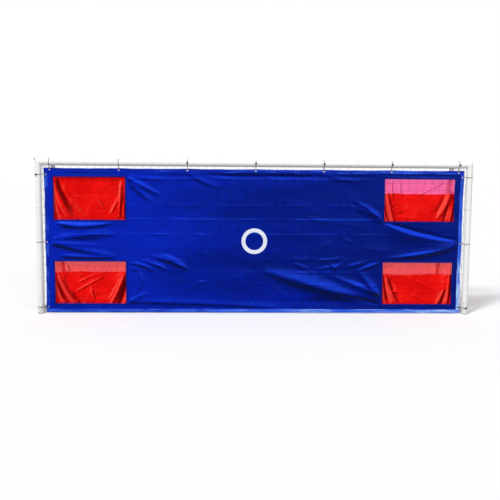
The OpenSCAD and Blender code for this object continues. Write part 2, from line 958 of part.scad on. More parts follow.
// A flap hangs from its seam and falls into hollow folds that run down and inwards
function flap_mid(u, v) = flap_y + min(1, v / flap_gather)
    * (flap_stand + flap_full * (1 + cos(flap_turn * (abs(u) + v / 2))) / 2);

module flap(side, z1) {
    x0 = side * open_mid;
    hinge_z = z1 + flap_top;
    top = seam_half - seam_gap;
    put(flap_red) translate([x0, 0, hinge_z]) cloth(steps(-flap_w / 2, flap_w / 2, 12),
        steps(-flap_h, top, 7), function (x, z) flap_mid(2 * x / flap_w, -z / flap_h),
        function (x, z) z > top - over ? seam_half : cloth_t / 2);
}

module top_left_flap() {
    flap(-1, high_z1);
}

module top_right_flap() {
    flap(1, high_z1);
}

module bottom_left_flap() {
    flap(-1, low_z1);
}

module bottom_right_flap() {
    flap(1, low_z1);
}

// ---- Bungees ----

// The cord's route lies in Y and Z, with its eyelet at the origin and the tube's axis at height
// drop. It is drawn up against the eyelet's hole, clears the flange and goes round the tube.
half_step = 180 / arc_n * arc_part;
arc_r = (post_r + cord_r + seat_gap) / cos(half_step);
function loop_route(drop) = let (
    a = acos(arc_r / drop),
    out = cord_turn + cord_r,
    up = cord_seat + cord_r
) concat(
    [[cord_turn, cord_seat], [0, cord_seat], [-cord_turn, cord_seat], [-out, up]],
    [for (i = [0 : arc_n]) let (t = a + (360 - 2 * a) * i / arc_n)
        [-arc_r * sin(t), drop - arc_r * cos(t)]],
    [[out, up]]);

// A closed tube along the route
module cord_loop(drop) {
    route = [for (p = loop_route(drop)) [0, p[0], p[1]]];
    n = len(route);
    ring = function (k) let (
        t = route[(k + 1) % n] - route[(k + n - 1) % n],
        out = cross([1, 0, 0], t) / norm(t),
        wide = cross(t / norm(t), out)
    ) [for (s = [0 : cord_sides - 1]) let (a = 360 * s / cord_sides)
        route[k] + cord_r * (cos(a) * out + sin(a) * wide)];
    at = function (k, s) (k % n) * cord_sides + s % cord_sides;
    polyhedron([for (k = [0 : n - 1]) each ring(k)], [
        for (k = [0 : n - 1], s = [0 : cord_sides - 1])
            each halves([at(k, s), at(k + 1, s), at(k + 1, s + 1), at(k, s + 1)])
    ]);
}

// Puts a bungee's own frame at an eyelet: its tube lies up (turn 0) or out to a side
module at_eyelet(place, turn) {
    translate([place[0], 0, place[1]]) rotate([0, turn, 0]) children();
}

tail_y = (post_r + cord_r + seat_gap) * cos(tail_angle);
tail_z = bar_z + (post_r + cord_r + seat_gap) * sin(tail_angle);
tail_x = -post_x - sqrt(ball_reach * ball_reach - tail_y * tail_y);

// The first cord's second strand runs behind the crossbar to a ball at the goal's outer corner
module top_bungees() {
    put(rubber_black) {
        for (place = top_places) {
            at_eyelet(place, 0) cord_loop(top_drop);
        }
        translate([0, tail_y, tail_z]) beam_x(cord_r, tail_x, top_eyelets[0] - cord_r - seat_gap);
    }
}

module side_bungees(side) {
    put(rubber_black) for (place = side_places(side)) {
        at_eyelet(place, side * 90) cord_loop(side_drop);
    }
}

module left_bungees() {
    side_bungees(-1);
}

module right_bungees() {
    side_bungees(1);
}

// A ball on its cord at an angle round the tube: 0 is the front, 90 the side away from the sheet
module ball(drop, angle) {
    translate([0, 0, drop]) difference() {
        translate([0, -ball_reach * cos(angle), ball_reach * sin(angle)]) sphere(r = ball_r);
        rotate([0, 90, 0]) rotate_extrude() translate([post_r + cord_r + seat_gap + groove_out, 0])
            circle(r = cord_r + groove_gap);
    }
}

module bungee_balls() {
    put(rubber_black) {
        for (i = [1 : top_n - 1]) {
            at_eyelet(top_places[i], 0) ball(top_drop, i == 1 ? behind : 0);
        }
        for (i = [0 : 2]) {
            at_eyelet(side_places(-1)[i], -90) ball(side_drop, left_ball_angles[i]);
            at_eyelet(side_places(1)[i], 90) ball(side_drop, right_ball_angles[i]);
        }
        translate([tail_x, tail_y, tail_z]) rotate([0, 90, 0]) difference() {
            sphere(r = ball_r);
            translate([0, 0, -soft_gap]) cylinder(r = cord_r + soft_gap, h = ball_d);
        }
    }
}

left_post();
right_post();
left_crossbar();
right_crossbar();
crossbar_plug();
left_corner_plug();
right_corner_plug();
left_corner_web();
post_feet();
left_arm_socket();
right_arm_socket();
left_ground_socket();
right_ground_socket();
left_top_arm();
right_top_arm();
left_back_stay();
right_back_stay();
left_ground_bar();
right_ground_bar();
left_rear_top_bar();
right_rear_top_bar();
left_rear_ground_bar();
right_rear_ground_bar();
rear_bar_plugs();
left_top_casting();
right_top_casting();
left_ground_casting();
right_ground_casting();
anchor_plates();
post_screws();
socket_screws();
roof_net();
back_net();
left_net();
right_net();
net_clips();
target_sheet();
top_hem();
bottom_hem();
left_hem();
right_hem();
top_left_binding();
top_right_binding();
bottom_left_binding();
bottom_right_binding();
flap_tapes();
eyelets();
top_bungees();
left_bungees();
right_bungees();
bungee_balls();
top_left_flap();
top_right_flap();
bottom_left_flap();
bottom_right_flap();
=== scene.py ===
# %% [markdown]
# # A goal with a target sheet
# A white tube goal, six metres wide, carries a blue sheet in its mouth. The sheet has an opening
# near each corner, and a red flap hangs behind each opening. The frame comes from the CAD model.
# This lesson gives every surface its finish, and makes the soft pieces: sheet, hems, flaps, cords
# and nets.

import math

import bpy
import numpy as np
from mathutils import Matrix, Vector, noise


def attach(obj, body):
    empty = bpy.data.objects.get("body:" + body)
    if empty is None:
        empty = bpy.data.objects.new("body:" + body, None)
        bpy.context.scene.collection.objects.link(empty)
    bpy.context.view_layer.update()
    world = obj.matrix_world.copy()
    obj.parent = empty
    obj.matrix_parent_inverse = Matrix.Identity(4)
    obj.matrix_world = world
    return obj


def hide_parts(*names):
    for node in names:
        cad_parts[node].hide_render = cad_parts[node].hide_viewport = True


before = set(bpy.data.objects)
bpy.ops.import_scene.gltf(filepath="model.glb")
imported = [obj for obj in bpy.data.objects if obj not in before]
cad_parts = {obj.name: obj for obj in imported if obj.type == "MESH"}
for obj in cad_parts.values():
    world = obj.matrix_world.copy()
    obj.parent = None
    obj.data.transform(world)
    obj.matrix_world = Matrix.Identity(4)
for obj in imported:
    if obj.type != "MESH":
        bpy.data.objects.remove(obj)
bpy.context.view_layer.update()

# %% [markdown]
# ## Camera
# The camera stands ten metres in front of the mouth, a little under the crossbar, so that the
# rear bar hides behind the crossbar. Its axes are worked out from yaw, pitch and roll, because
# three plain numbers are easier to tune than a matrix.

# %% Camera
CAMERA_AT = (-0.38, -10.7533, 1.95)
LENS, SENSOR = 50.76, 36
yaw, pitch, roll = (math.radians(v) for v in (1.75, -5.88, 0.44))
ahead = Vector((
    math.sin(yaw) * math.cos(pitch), math.cos(yaw) * math.cos(pitch), math.sin(pitch)))
level = Vector((math.cos(yaw), -math.sin(yaw), 0))
upright = level.cross(ahead)
right = math.cos(roll) * level + math.sin(roll) * upright
up = -math.sin(roll) * level + math.cos(roll) * upright
camera_data = bpy.data.cameras.new("camera")
camera_data.lens = LENS
camera_data.sensor_width = SENSOR
camera = bpy.data.objects.new("camera", camera_data)
bpy.context.scene.collection.objects.link(camera)
camera.matrix_world = Matrix.Translation(CAMERA_AT) @ Matrix(
    (right, up, -ahead)).transposed().to_4x4()
bpy.context.scene.camera = camera
print("camera looks along", [round(v, 3) for v in ahead])

# %% [markdown]
# ## Sizes
# The soft pieces repeat the CAD model's sizes, in metres. The mouth is the plane in which the
# sheet hangs.

# %% Sizes
MOUTH = -0.7533
SHEET_X, SHEET_Z0, SHEET_Z1 = 2.970, 0.015, 2.065
HEM, HEM_T = 0.050, 0.005
OPEN_X0, OPEN_X1 = 1.840, 2.840
LOW, HIGH = (0.145, 0.745), (1.340, 1.940)
BINDING = 0.025
EYELET_IN = 0.025
END_EYELET, TOP_SPACES = 2.890, 6
TOP_EYELETS = [(-END_EYELET + i * 2 * END_EYELET / TOP_SPACES, SHEET_Z1 - EYELET_IN)
               for i in range(TOP_SPACES + 1)]
RIGHT_EYELETS = [(SHEET_X - EYELET_IN, z) for z in (1.970, 1.020, 0.095)]
LEFT_EYELETS = [(-x, z) for x, z in RIGHT_EYELETS]
EYELETS = TOP_EYELETS + RIGHT_EYELETS + LEFT_EYELETS
OPENINGS = {
    f"{row}_{side}": (sign, z0, z1)
    for row, (z0, z1) in (("top", HIGH), ("bottom", LOW))
    for side, sign in (("left", -1), ("right", 1))
}
print(len(EYELETS), "eyelets and", len(OPENINGS), "openings")

# %% [markdown]
# ## Helpers
# An operator acts on whatever is selected, so each step starts with nothing selected. A mesh from
# points and faces becomes an object that stands at the origin, with its place in its mesh.

# %% Helpers for objects
def alone(obj):
    """Selects one object and makes it active."""
    bpy.ops.object.select_all(action="DESELECT")
    obj.select_set(True)
    bpy.context.view_layer.objects.active = obj


def apply_modifiers(obj):
    alone(obj)
    for m in list(obj.modifiers):
        bpy.ops.object.modifier_apply(modifier=m.name)


def place_in_mesh(obj):
    """Moves the object's place, turn and scale into its mesh."""
    alone(obj)
    bpy.ops.object.transform_apply(location=True, rotation=True, scale=True)


def smooth(obj, angle=40):
    alone(obj)
    bpy.ops.object.shade_smooth_by_angle(angle=math.radians(angle))


def faces_outwards(obj, merge=0):
    """Turns every face outwards, once points that are closer than merge are made one."""
    alone(obj)
    bpy.ops.object.mode_set(mode="EDIT")
    bpy.ops.mesh.select_all(action="SELECT")
    if merge:
        bpy.ops.mesh.remove_doubles(threshold=merge)
    bpy.ops.mesh.normals_make_consistent(inside=False)
    bpy.ops.object.mode_set(mode="OBJECT")
    return obj


def piece(name, points, faces, finish, uv=None):
    """An object from a list of points and faces. uv holds one pair for each point."""
    mesh = bpy.data.meshes.new(name)
    mesh.from_pydata([tuple(p) for p in points], [], faces)
    mesh.update()
    if uv is not None:
        layer = mesh.uv_layers.new(name="cloth")
        corners = np.empty(len(mesh.loops), dtype=np.int32)
        mesh.loops.foreach_get("vertex_index", corners)
        layer.data.foreach_set("uv", np.asarray(uv, dtype=np.float32)[corners].ravel())
    mesh.materials.append(finish)
    obj = bpy.data.objects.new(name, mesh)
    bpy.context.scene.collection.objects.link(obj)
    return obj


def joined(name, objects):
    """Joins objects into the first one."""
    bpy.ops.object.select_all(action="DESELECT")
    for o in objects:
        o.select_set(True)
    bpy.context.view_layer.objects.active = objects[0]
    bpy.ops.object.join()
    objects[0].name = name
    return objects[0]


def on_goal(obj, slot, *nodes):
    """Lets a piece ride on the goal in place of the CAD nodes."""
    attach(obj, "goal")
    if nodes:
        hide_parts(*nodes)
    print(obj.name, len(obj.data.polygons), "faces")
    return obj


def give_slope(obj, values):
    """Stores how far the cloth leans at each point, from which its finish paints shade and
    highlight.
    """
    obj.data.attributes.new("slope", "FLOAT", "POINT").data.foreach_set("value", values)


# %% [markdown]
# A material is a small network of nodes. These helpers add a node, link what comes in and set
# the rest, so that each finish below reads as a short recipe.

# %% Helpers for materials
def add(tree, kind, inputs=None, **settings):
    node = tree.nodes.new("ShaderNode" + kind)
    for name, value in settings.items():
        setattr(node, name, value)
    for name, value in (inputs or {}).items():
        if isinstance(value, bpy.types.NodeSocket):
            tree.links.new(value, node.inputs[name])
        else:
            node.inputs[name].default_value = value
    return node


def material(name, **plain):
    """A new material, its tree, its shader and its Object coordinates. plain sets the shader's
    own sockets, such as Roughness=0.4."""
    m = bpy.data.materials.new(name)
    m.use_nodes = True
    tree = m.node_tree
    shader = tree.nodes["Principled BSDF"]
    for socket, value in plain.items():
        shader.inputs[socket.replace("_", " ")].default_value = value
    return m, tree, shader, add(tree, "TexCoord").outputs["Object"]


def split(tree, vector):
    """X, Y and Z of a vector, one by one."""
    return add(tree, "SeparateXYZ", {0: vector}).outputs


def speckle(tree, spot, scale, detail=3, rough=0.55, stretch=(1, 1, 1)):
    """Noise with so many spots to a metre, stretched along an axis by a small number."""
    turned = add(tree, "Mapping", {"Vector": spot, "Scale": stretch})
    return add(tree, "TexNoise", {
        "Vector": turned.outputs[0], "Scale": scale, "Detail": detail, "Roughness": rough,
    }).outputs["Fac"]


def grade(tree, value, a, b, low=0.0, high=1.0):
    """Turns a value's range from a to b into low to high, smoothly and no further."""
    return add(tree, "MapRange", {
        "Value": value, "From Min": a, "From Max": b, "To Min": low, "To Max": high,
    }, interpolation_type="SMOOTHSTEP").outputs[0]


def sums(tree, how, a, b):
    return add(tree, "Math", {0: a, 1: b}, operation=how).outputs[0]


def tint(tree, factor, a, b, how="MIX"):
    """A colour between a and b."""
    a, b = ((*c, 1) if isinstance(c, tuple) else c for c in (a, b))
    return add(tree, "Mix", {0: factor, 6: a, 7: b}, data_type="RGBA", blend_type=how).outputs[2]


def bump(tree, shader, height, depth, over=None):
    """Raises the surface by height times depth, in metres."""
    node = add(tree, "Bump", {"Height": height, "Distance": depth, "Strength": 1.0})
    if over is not None:
        tree.links.new(over, node.inputs["Normal"])
    tree.links.new(node.outputs[0], shader.inputs["Normal"])
    return node.outputs[0]


def feed(tree, shader, **sockets):
    for name, value in sockets.items():
        tree.links.new(value, shader.inputs[name.replace("_", " ")])


# %% [markdown]
# ## Finish of the frame
# The tubes are powder-coated white. A coat like that is a little uneven, like the skin of an
# orange, and a goal that is carried about gets scuffs, dust and a grey foot. All of this is
# noise on Object coordinates, so it needs no unwrapping and runs on from tube to tube.

# %% White powder coat
paint, tree, shader, spot = material("white_powder_coat", IOR=1.5, Coat_Weight=0.25,
                                     Coat_Roughness=0.12)
patches = speckle(tree, spot, 3.5, 5)
scuffs = grade(tree, speckle(tree, spot, 16, 8, 0.7, (0.35, 1, 1)), 0.64, 0.74)
near_ground = grade(tree, split(tree, spot)["Z"], 0.34, 0.01)
splashes = grade(tree, speckle(tree, spot, 22, 6, 0.65), 0.42, 0.66)
grime = sums(tree, "MULTIPLY", near_ground, splashes)
white = tint(tree, patches, (0.80, 0.82, 0.81), (0.90, 0.91, 0.89))
white = tint(tree, sums(tree, "MULTIPLY", scuffs, 0.35), white, (0.42, 0.43, 0.43))
white = tint(tree, sums(tree, "MULTIPLY", grime, 0.55), white, (0.36, 0.33, 0.24))
feed(tree, shader, Base_Color=white,
     Roughness=sums(tree, "ADD", grade(tree, patches, 0.3, 0.7, 0.28, 0.4),
                    sums(tree, "MULTIPLY", scuffs, 0.25)))
peel = bump(tree, shader, speckle(tree, spot, 420, 2), 0.00025)
bump(tree, shader, sums(tree, "MULTIPLY", scuffs, -1.0), 0.0002, over=peel)

# %% [markdown]
# Screws and plates are zinc-coated steel: a grey metal whose crystals show as faint patches, with
# some white bloom where water has stood. The rubber feet, and the nickel and plastic further on,
# share one recipe: patches of dust or wear over a clean colour.

# %% Zinc, rubber and nylon
zinc, tree, shader, spot = material("zinc_steel", Metallic=0.85)
flower = add(tree, "TexVoronoi", {"Vector": spot, "Scale": 130.0}).outputs["Color"]
bloom = grade(tree, speckle(tree, spot, 40, 6), 0.5, 0.68)
grey = tint(tree, flower, (0.42, 0.43, 0.45), (0.62, 0.63, 0.64))
feed(tree, shader, Base_Color=tint(tree, bloom, grey, (0.70, 0.70, 0.68)),
     Roughness=grade(tree, bloom, 0, 1, 0.34, 0.62))
bump(tree, shader, speckle(tree, spot, 700, 2), 0.00015)


def patchy(name, patches, clean, marked, rough, grain, **plain):
    """A finish with patches of dust or wear. patches is their scale, detail and range, rough the
    roughness where it is clean and marked, and grain the surface's scale, detail and depth."""
    m, tree, shader, spot = material(name, **plain)
    mark = grade(tree, speckle(tree, spot, *patches[:2]), *patches[2:])
    feed(tree, shader, Base_Color=tint(tree, mark, clean, marked),
         Roughness=grade(tree, mark, 0, 1, *rough))
    bump(tree, shader, speckle(tree, spot, *grain[:2]), grain[2])
    return m


rubber = patchy("foot_rubber", (35, 7, 0.45, 0.72), (0.018, 0.018, 0.019), (0.085, 0.08, 0.07),
                (0.55, 0.85), (500, 3, 0.0003), Specular_IOR_Level=0.35)

nylon, tree, shader, spot = material("clip_nylon", Subsurface_Weight=0.08,
                                     Subsurface_Scale=0.004)
feed(tree, shader, Base_Color=tint(tree, speckle(tree, spot, 30, 5), (0.74, 0.75, 0.73),
                                   (0.86, 0.86, 0.83)),
     Roughness=grade(tree, speckle(tree, spot, 90, 4), 0.3, 0.7, 0.3, 0.5))
bump(tree, shader, speckle(tree, spot, 350, 2), 0.0002)

# %% [markdown]
# The eyelets are pressed nickel, dull and dark with weather and a little brighter where the cords
# rub. The balls are moulded black plastic with a fine grain and dusty tops.

# %% Nickel and ball plastic
nickel = patchy("eyelet_nickel", (160, 6, 0.4, 0.65), (0.10, 0.11, 0.15), (0.24, 0.25, 0.30),
                (0.42, 0.22), (900, 2, 0.0001), Metallic=1.0)
ball_black = patchy("ball_plastic", (70, 6, 0.42, 0.72), (0.008, 0.008, 0.010),
                    (0.035, 0.035, 0.036), (0.32, 0.6), (800, 2, 0.0001), Specular_IOR_Level=0.4)
print("finishes:", rubber.name, nickel.name, ball_black.name)

# %% [markdown]
# Each CAD node that stays gets its finish here. Nothing is moved: only its material slots change.

# %% Finishes on the CAD nodes
FRAME_NODES = [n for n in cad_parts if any(
    w in n for w in ("post", "crossbar", "web", "_socket", "_arm", "stay", "_bar", "casting"))
    and n not in ("post_feet", "post_screws", "crossbar_plug", "rear_bar_plugs")]
FINISHES = {
    paint: FRAME_NODES,
    zinc: ["post_screws", "socket_screws", "anchor_plates", "crossbar_plug",
           "left_corner_plug", "right_corner_plug", "rear_bar_plugs"],
    rubber: ["post_feet"],
    nylon: ["net_clips"],
    nickel: ["eyelets"],
    ball_black: ["bungee_balls"],
}
for finish, names in FINISHES.items():
    for name in names:
        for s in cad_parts[name].material_slots:
            s.material = finish
print(len(FRAME_NODES), "painted nodes")

# %% [markdown]
# ## Cloth finishes
# The sheet is a thin coated weave with a satin face. Its colour has painted shade where it turns
# down, a painted highlight where it turns up along its folds, and painted shade towards the right.
# The weave is two sets of fine waves, one across and one down. The ring in the middle is a plain
# white print that has worn a little. It is only on the front, where the normal points to -Y.

# %% Blue sheet cloth
def weave(tree, shader, spot, threads, depth, across="X", down="Z"):
    """Threads to a metre, as two sets of waves in bump."""
    waves = [add(tree, "TexWave", {"Vector": spot, "Scale": threads * 0.314}, wave_type="BANDS",
                 bands_direction=d).outputs["Fac"] for d in (across, down)]
    return bump(tree, shader, sums(tree, "MAXIMUM", *waves), depth)


# The ring's middle and radius, and how far from its line the print ends and is whole
RING_X, RING_Z, RING_R = -0.014, 1.046, 0.155
RING_END, RING_WHOLE = 0.0285, 0.0265


def blue_cloth(name, deep, bright, ring=False):
    """Blue cloth between two shades, with painted shade towards the right and where it turns
    down, and a painted highlight where it turns up.
    """
    m, tree, shader, spot = material(name, Roughness=0.36, Specular_IOR_Level=0.5,
                                     Specular_Tint=(0.05, 0.16, 1.0, 1))
    xyz = split(tree, spot)
    broad = speckle(tree, spot, 0.8, 4, 0.55, (0.6, 1, 2.2))
    fine = speckle(tree, spot, 14, 6, 0.65)
    mixed = sums(tree, "ADD", sums(tree, "MULTIPLY", broad, 0.7),
                 sums(tree, "MULTIPLY", fine, 0.3))
    # Painted shade: a gradient along X darkens the cloth towards the right, away from the key lamp,
    # on top of its patchy tone.
    tone_and_painted_falloff = sums(tree, "ADD", mixed, grade(tree, xyz["X"], -3.0, 3.0, 0.15, -0.28))
    colour = tint(tree, grade(tree, tone_and_painted_falloff, 0.25, 0.75), deep, bright)
    # Painted shade where the cloth turns down and a painted highlight where it turns up, read from
    # the slope attribute.
    slope = add(tree, "Attribute", attribute_name="slope").outputs["Fac"]
    colour = tint(tree, grade(tree, slope, -0.03, -0.36), colour, (0.0001, 0.0002, 0.028))
    colour = tint(tree, grade(tree, slope, 0.06, 0.45), colour, (0.0060, 0.0400, 0.62))
    if ring:
        off = add(tree, "CombineXYZ", {0: sums(tree, "SUBTRACT", xyz["X"], RING_X),
                                       2: sums(tree, "SUBTRACT", xyz["Z"], RING_Z)})
        reach = add(tree, "VectorMath", {0: off.outputs[0]}, operation="LENGTH").outputs["Value"]
        off_line = sums(tree, "ABSOLUTE", sums(tree, "SUBTRACT", reach, RING_R), 0)
        worn = grade(tree, speckle(tree, spot, 60, 8, 0.75), 0.68, 0.60)
        faces = split(tree, add(tree, "TexCoord").outputs["Normal"])["Y"]
        worn = sums(tree, "MULTIPLY", worn, grade(tree, faces, 0.1, -0.1))
        print_here = sums(tree, "MULTIPLY", grade(tree, off_line, RING_END, RING_WHOLE), worn)
        colour = tint(tree, print_here, colour, (0.80, 0.83, 0.90))
    feed(tree, shader, Base_Color=colour)
    weave(tree, shader, spot, 700, 0.00010)
    return m


sheet_blue = blue_cloth("sheet_cloth", (0.0002, 0.0030, 0.130), (0.0015, 0.0130, 0.43), ring=True)
binding_blue = blue_cloth("binding_cloth", (0.0005, 0.0040, 0.130), (0.0010, 0.0070, 0.20))

# %% [markdown]
# The hem is the same cloth folded over a webbing, and painted sheen makes it lighter blue: most low
# on the right and along the foot, where the light catches it. The painted sheen grows along the
# hem, along X or Z, and noise that is stretched the same way breaks it up into streaks.

# %% Hem cloth with painted sheen
def hem_cloth(name, low, high, axis="X"):
    """low and high say how strong the painted sheen is at the left or lower end and at the other.
    """
    m, tree, shader, spot = material(name, Roughness=0.42, Specular_IOR_Level=0.4,
                                     Specular_Tint=(0.10, 0.22, 1.0, 1))
    start, end, stretch = (-3.0, 3.0, (0.12, 1, 1)) if axis == "X" else (0.2, 1.9, (1, 1, 0.3))
    run = grade(tree, split(tree, spot)[axis], start, end, low, high)
    broken = grade(tree, speckle(tree, spot, 18, 6, 0.7, stretch), 0.3, 0.7, -0.25, 0.25)
    # Painted sheen: the hem is painted lighter blue along its length, most where the light catches
    # it.
    painted_sheen = sums(tree, "ADD", run, broken)
    colour = tint(tree, grade(tree, painted_sheen, 0.0, 0.5), (0.0015, 0.012, 0.33), (0.035, 0.115, 0.72))
    colour = tint(tree, grade(tree, painted_sheen, 0.5, 1.0), colour, (0.40, 0.62, 0.96))
    feed(tree, shader, Base_Color=colour)
    weave(tree, shader, spot, 600, 0.00012)
    return m


hem_blues = {
    "top_hem": hem_cloth("top_hem_cloth", -0.10, 0.24),
    "bottom_hem": hem_cloth("bottom_hem_cloth", 0.24, 0.62),
    "left_hem": hem_cloth("left_hem_cloth", 0.10, 0.16, axis="Z"),
    "right_hem": hem_cloth("right_hem_cloth", 0.80, 0.20, axis="Z"),
}


def sewing_thread(name, dark, light, **plain):
    """Thread whose colour varies along the rows, with a fine twist."""
    m, tree, shader, spot = material(name, Roughness=0.6, **plain)
    feed(tree, shader, Base_Color=tint(tree, speckle(tree, spot, 25, 4), dark, light))
    bump(tree, shader, speckle(tree, spot, 2500, 2), 0.0002)
    return m


thread = sewing_thread("stitch_thread", (0.004, 0.02, 0.22), (0.02, 0.06, 0.42),
                       Specular_IOR_Level=0.3)
red_thread = sewing_thread("red_thread", (0.45, 0.004, 0.004), (0.70, 0.02, 0.02))
print(len(hem_blues), "hem finishes,", thread.name, "and", red_thread.name)

# %% [markdown]
# The flaps are thin red cloth that lets light through. A Translucent shader shows the light that
# falls on the back. The sun has thinned the top of three of the flaps, so a little Transparent
# shader is mixed in there, and the net behind shows through.

# %% Red flap cloth
# How far below a flap's height top the thinned cloth ends, and is thinned in full
THIN_END, THIN_FULL = 0.225, 0.205


def flap_cloth(name, top, thin, seen=(1.0, 0.50, 0.52)):
    """The cloth is thinned by the share thin over its upper third, below the height top. seen is
    the colour that what lies behind takes on."""
    m, tree, shader, spot = material(name, Roughness=0.36, Specular_IOR_Level=0.3,
                                     Specular_Tint=(1.0, 0.12, 0.10, 1))
    cloudy = speckle(tree, spot, 5, 5, 0.6)
    red = tint(tree, grade(tree, cloudy, 0.3, 0.7), (0.80, 0.0030, 0.0030), (0.95, 0.008, 0.006))
    # Painted shade where the cloth turns away from the key lamp and a painted highlight where it
    # faces it, read from the slope attribute.
    slope = add(tree, "Attribute", attribute_name="slope").outputs["Fac"]
    red = tint(tree, grade(tree, slope, -0.04, -0.48), red, (0.23, 0.0006, 0.0005))
    red = tint(tree, grade(tree, slope, 0.06, 0.42), red, (0.98, 0.075, 0.055))
    feed(tree, shader, Base_Color=red)
    weave(tree, shader, spot, 900, 0.00008)
    glow = add(tree, "BsdfTranslucent", {"Color": red})
    body = add(tree, "MixShader", {0: 0.25, 1: shader.outputs[0], 2: glow.outputs[0]})
    if thin:
        waver = grade(tree, speckle(tree, spot, 2.2, 2), 0.3, 0.7, -0.008, 0.008)
        line = sums(tree, "ADD", split(tree, spot)["Z"], waver)
        share = grade(tree, line, top - THIN_END, top - THIN_FULL, 0.0, thin)
        # Painted shade as well: less of the clear shader where the cloth turns from the lamp.
        share = sums(tree, "MULTIPLY", share, grade(tree, slope, -0.45, -0.1, 0.35, 1.0))
        clear = add(tree, "BsdfTransparent", {"Color": (*seen, 1)})
        body = add(tree, "MixShader", {0: share, 1: body.outputs[0], 2: clear.outputs[0]})
    out = tree.nodes["Material Output"]
    tree.links.new(body.outputs[0], out.inputs["Surface"])
    return m


flap_reds = {
    "top_left": flap_cloth("top_left_flap_cloth", 1.94, 0),
    "top_right": flap_cloth("top_right_flap_cloth", 1.945, 0.80, seen=(1.0, 0.46, 0.75)),
    "bottom_left": flap_cloth("bottom_left_flap_cloth", 0.805, 0.60),
    "bottom_right": flap_cloth("bottom_right_flap_cloth", 0.785, 0.60),
}
print(len(flap_reds), "flap finishes")

# %% [markdown]
# ## How the sheet hangs
# The sheet is tied at its eyelets and pulled flat there. Between them its edges draw in and wave
# a little. One function moves every point of the sheet's plane, so that cloth, hems, bindings and
# stitches stay together. It works on whole arrays of points.

# %% Edge waves
def ripple(x, z, wave, seed):
    """Smooth waves about wave metres long, from -1 to 1."""
    k = 2 * math.pi / wave
    s = seed * 1.7
    return (np.sin(k * x + s + 1.3 * np.sin(0.37 * k * z + s)) * 0.5
            + np.sin(0.63 * k * z - 0.41 * k * x + 2.1 * s) * 0.3
            + np.sin(1.71 * k * x + 1.33 * k * z + 3.7 * s) * 0.2)


def edge_shift(x, z):
    """How far a point near the edge moves in X, Y and Z."""
    tied = np.full_like(x, 9.0)
    for ex, ez in EYELETS:
        tied = np.minimum(tied, np.hypot(x - ex, z - ez))
    free = 1 - np.exp(-(tied / 0.16) ** 2)
    side = np.exp(-((SHEET_X - np.abs(x)) / 0.11) ** 2) * free
    head = np.exp(-((SHEET_Z1 - z) / 0.11) ** 2) * free
    foot = np.exp(-((z - SHEET_Z0) / 0.11) ** 2) * free
    low = np.clip((z - SHEET_Z0) / 0.03, 0, 1)
    dx = -np.sign(x) * side * (0.0055 + 0.0025 * ripple(z, x, 0.21, 1))
    dz = -head * (0.0045 + 0.0020 * ripple(x, z, 0.33, 2)) + foot * low * 0.003 * ripple(
        x, z, 0.62, 3)
    dy = (side * 0.0045 * ripple(z, x, 0.27, 4) + head * 0.004 * ripple(x, z, 0.45, 5)
          + foot * 0.005 * ripple(x, z, 0.70, 6))
    return dx, dy, dz


def hang(points):
    """Moves flat points of the sheet's plane to where they hang."""
    p = np.array(points, dtype=float)
    dx, dy, dz = edge_shift(p[:, 0], p[:, 2])
    p += np.stack((dx, dy, dz), 1)
    return p


def in_mouth(points):
    """Hangs flat points and takes them to the mouth."""
    p = hang(points)
    p[:, 1] += MOUTH
    return p


# %% [markdown]
# ## Folds of the sheet
# Each fold is a line with a height to the front and two widths, one for each side of it. Folds
# run away from the eyelets that pull, and hang in a swag below an opening. Where the sheet was
# folded to be packed, a grid of sharp creases is left. All of it fades out towards hems and
# bindings, which are stiff.

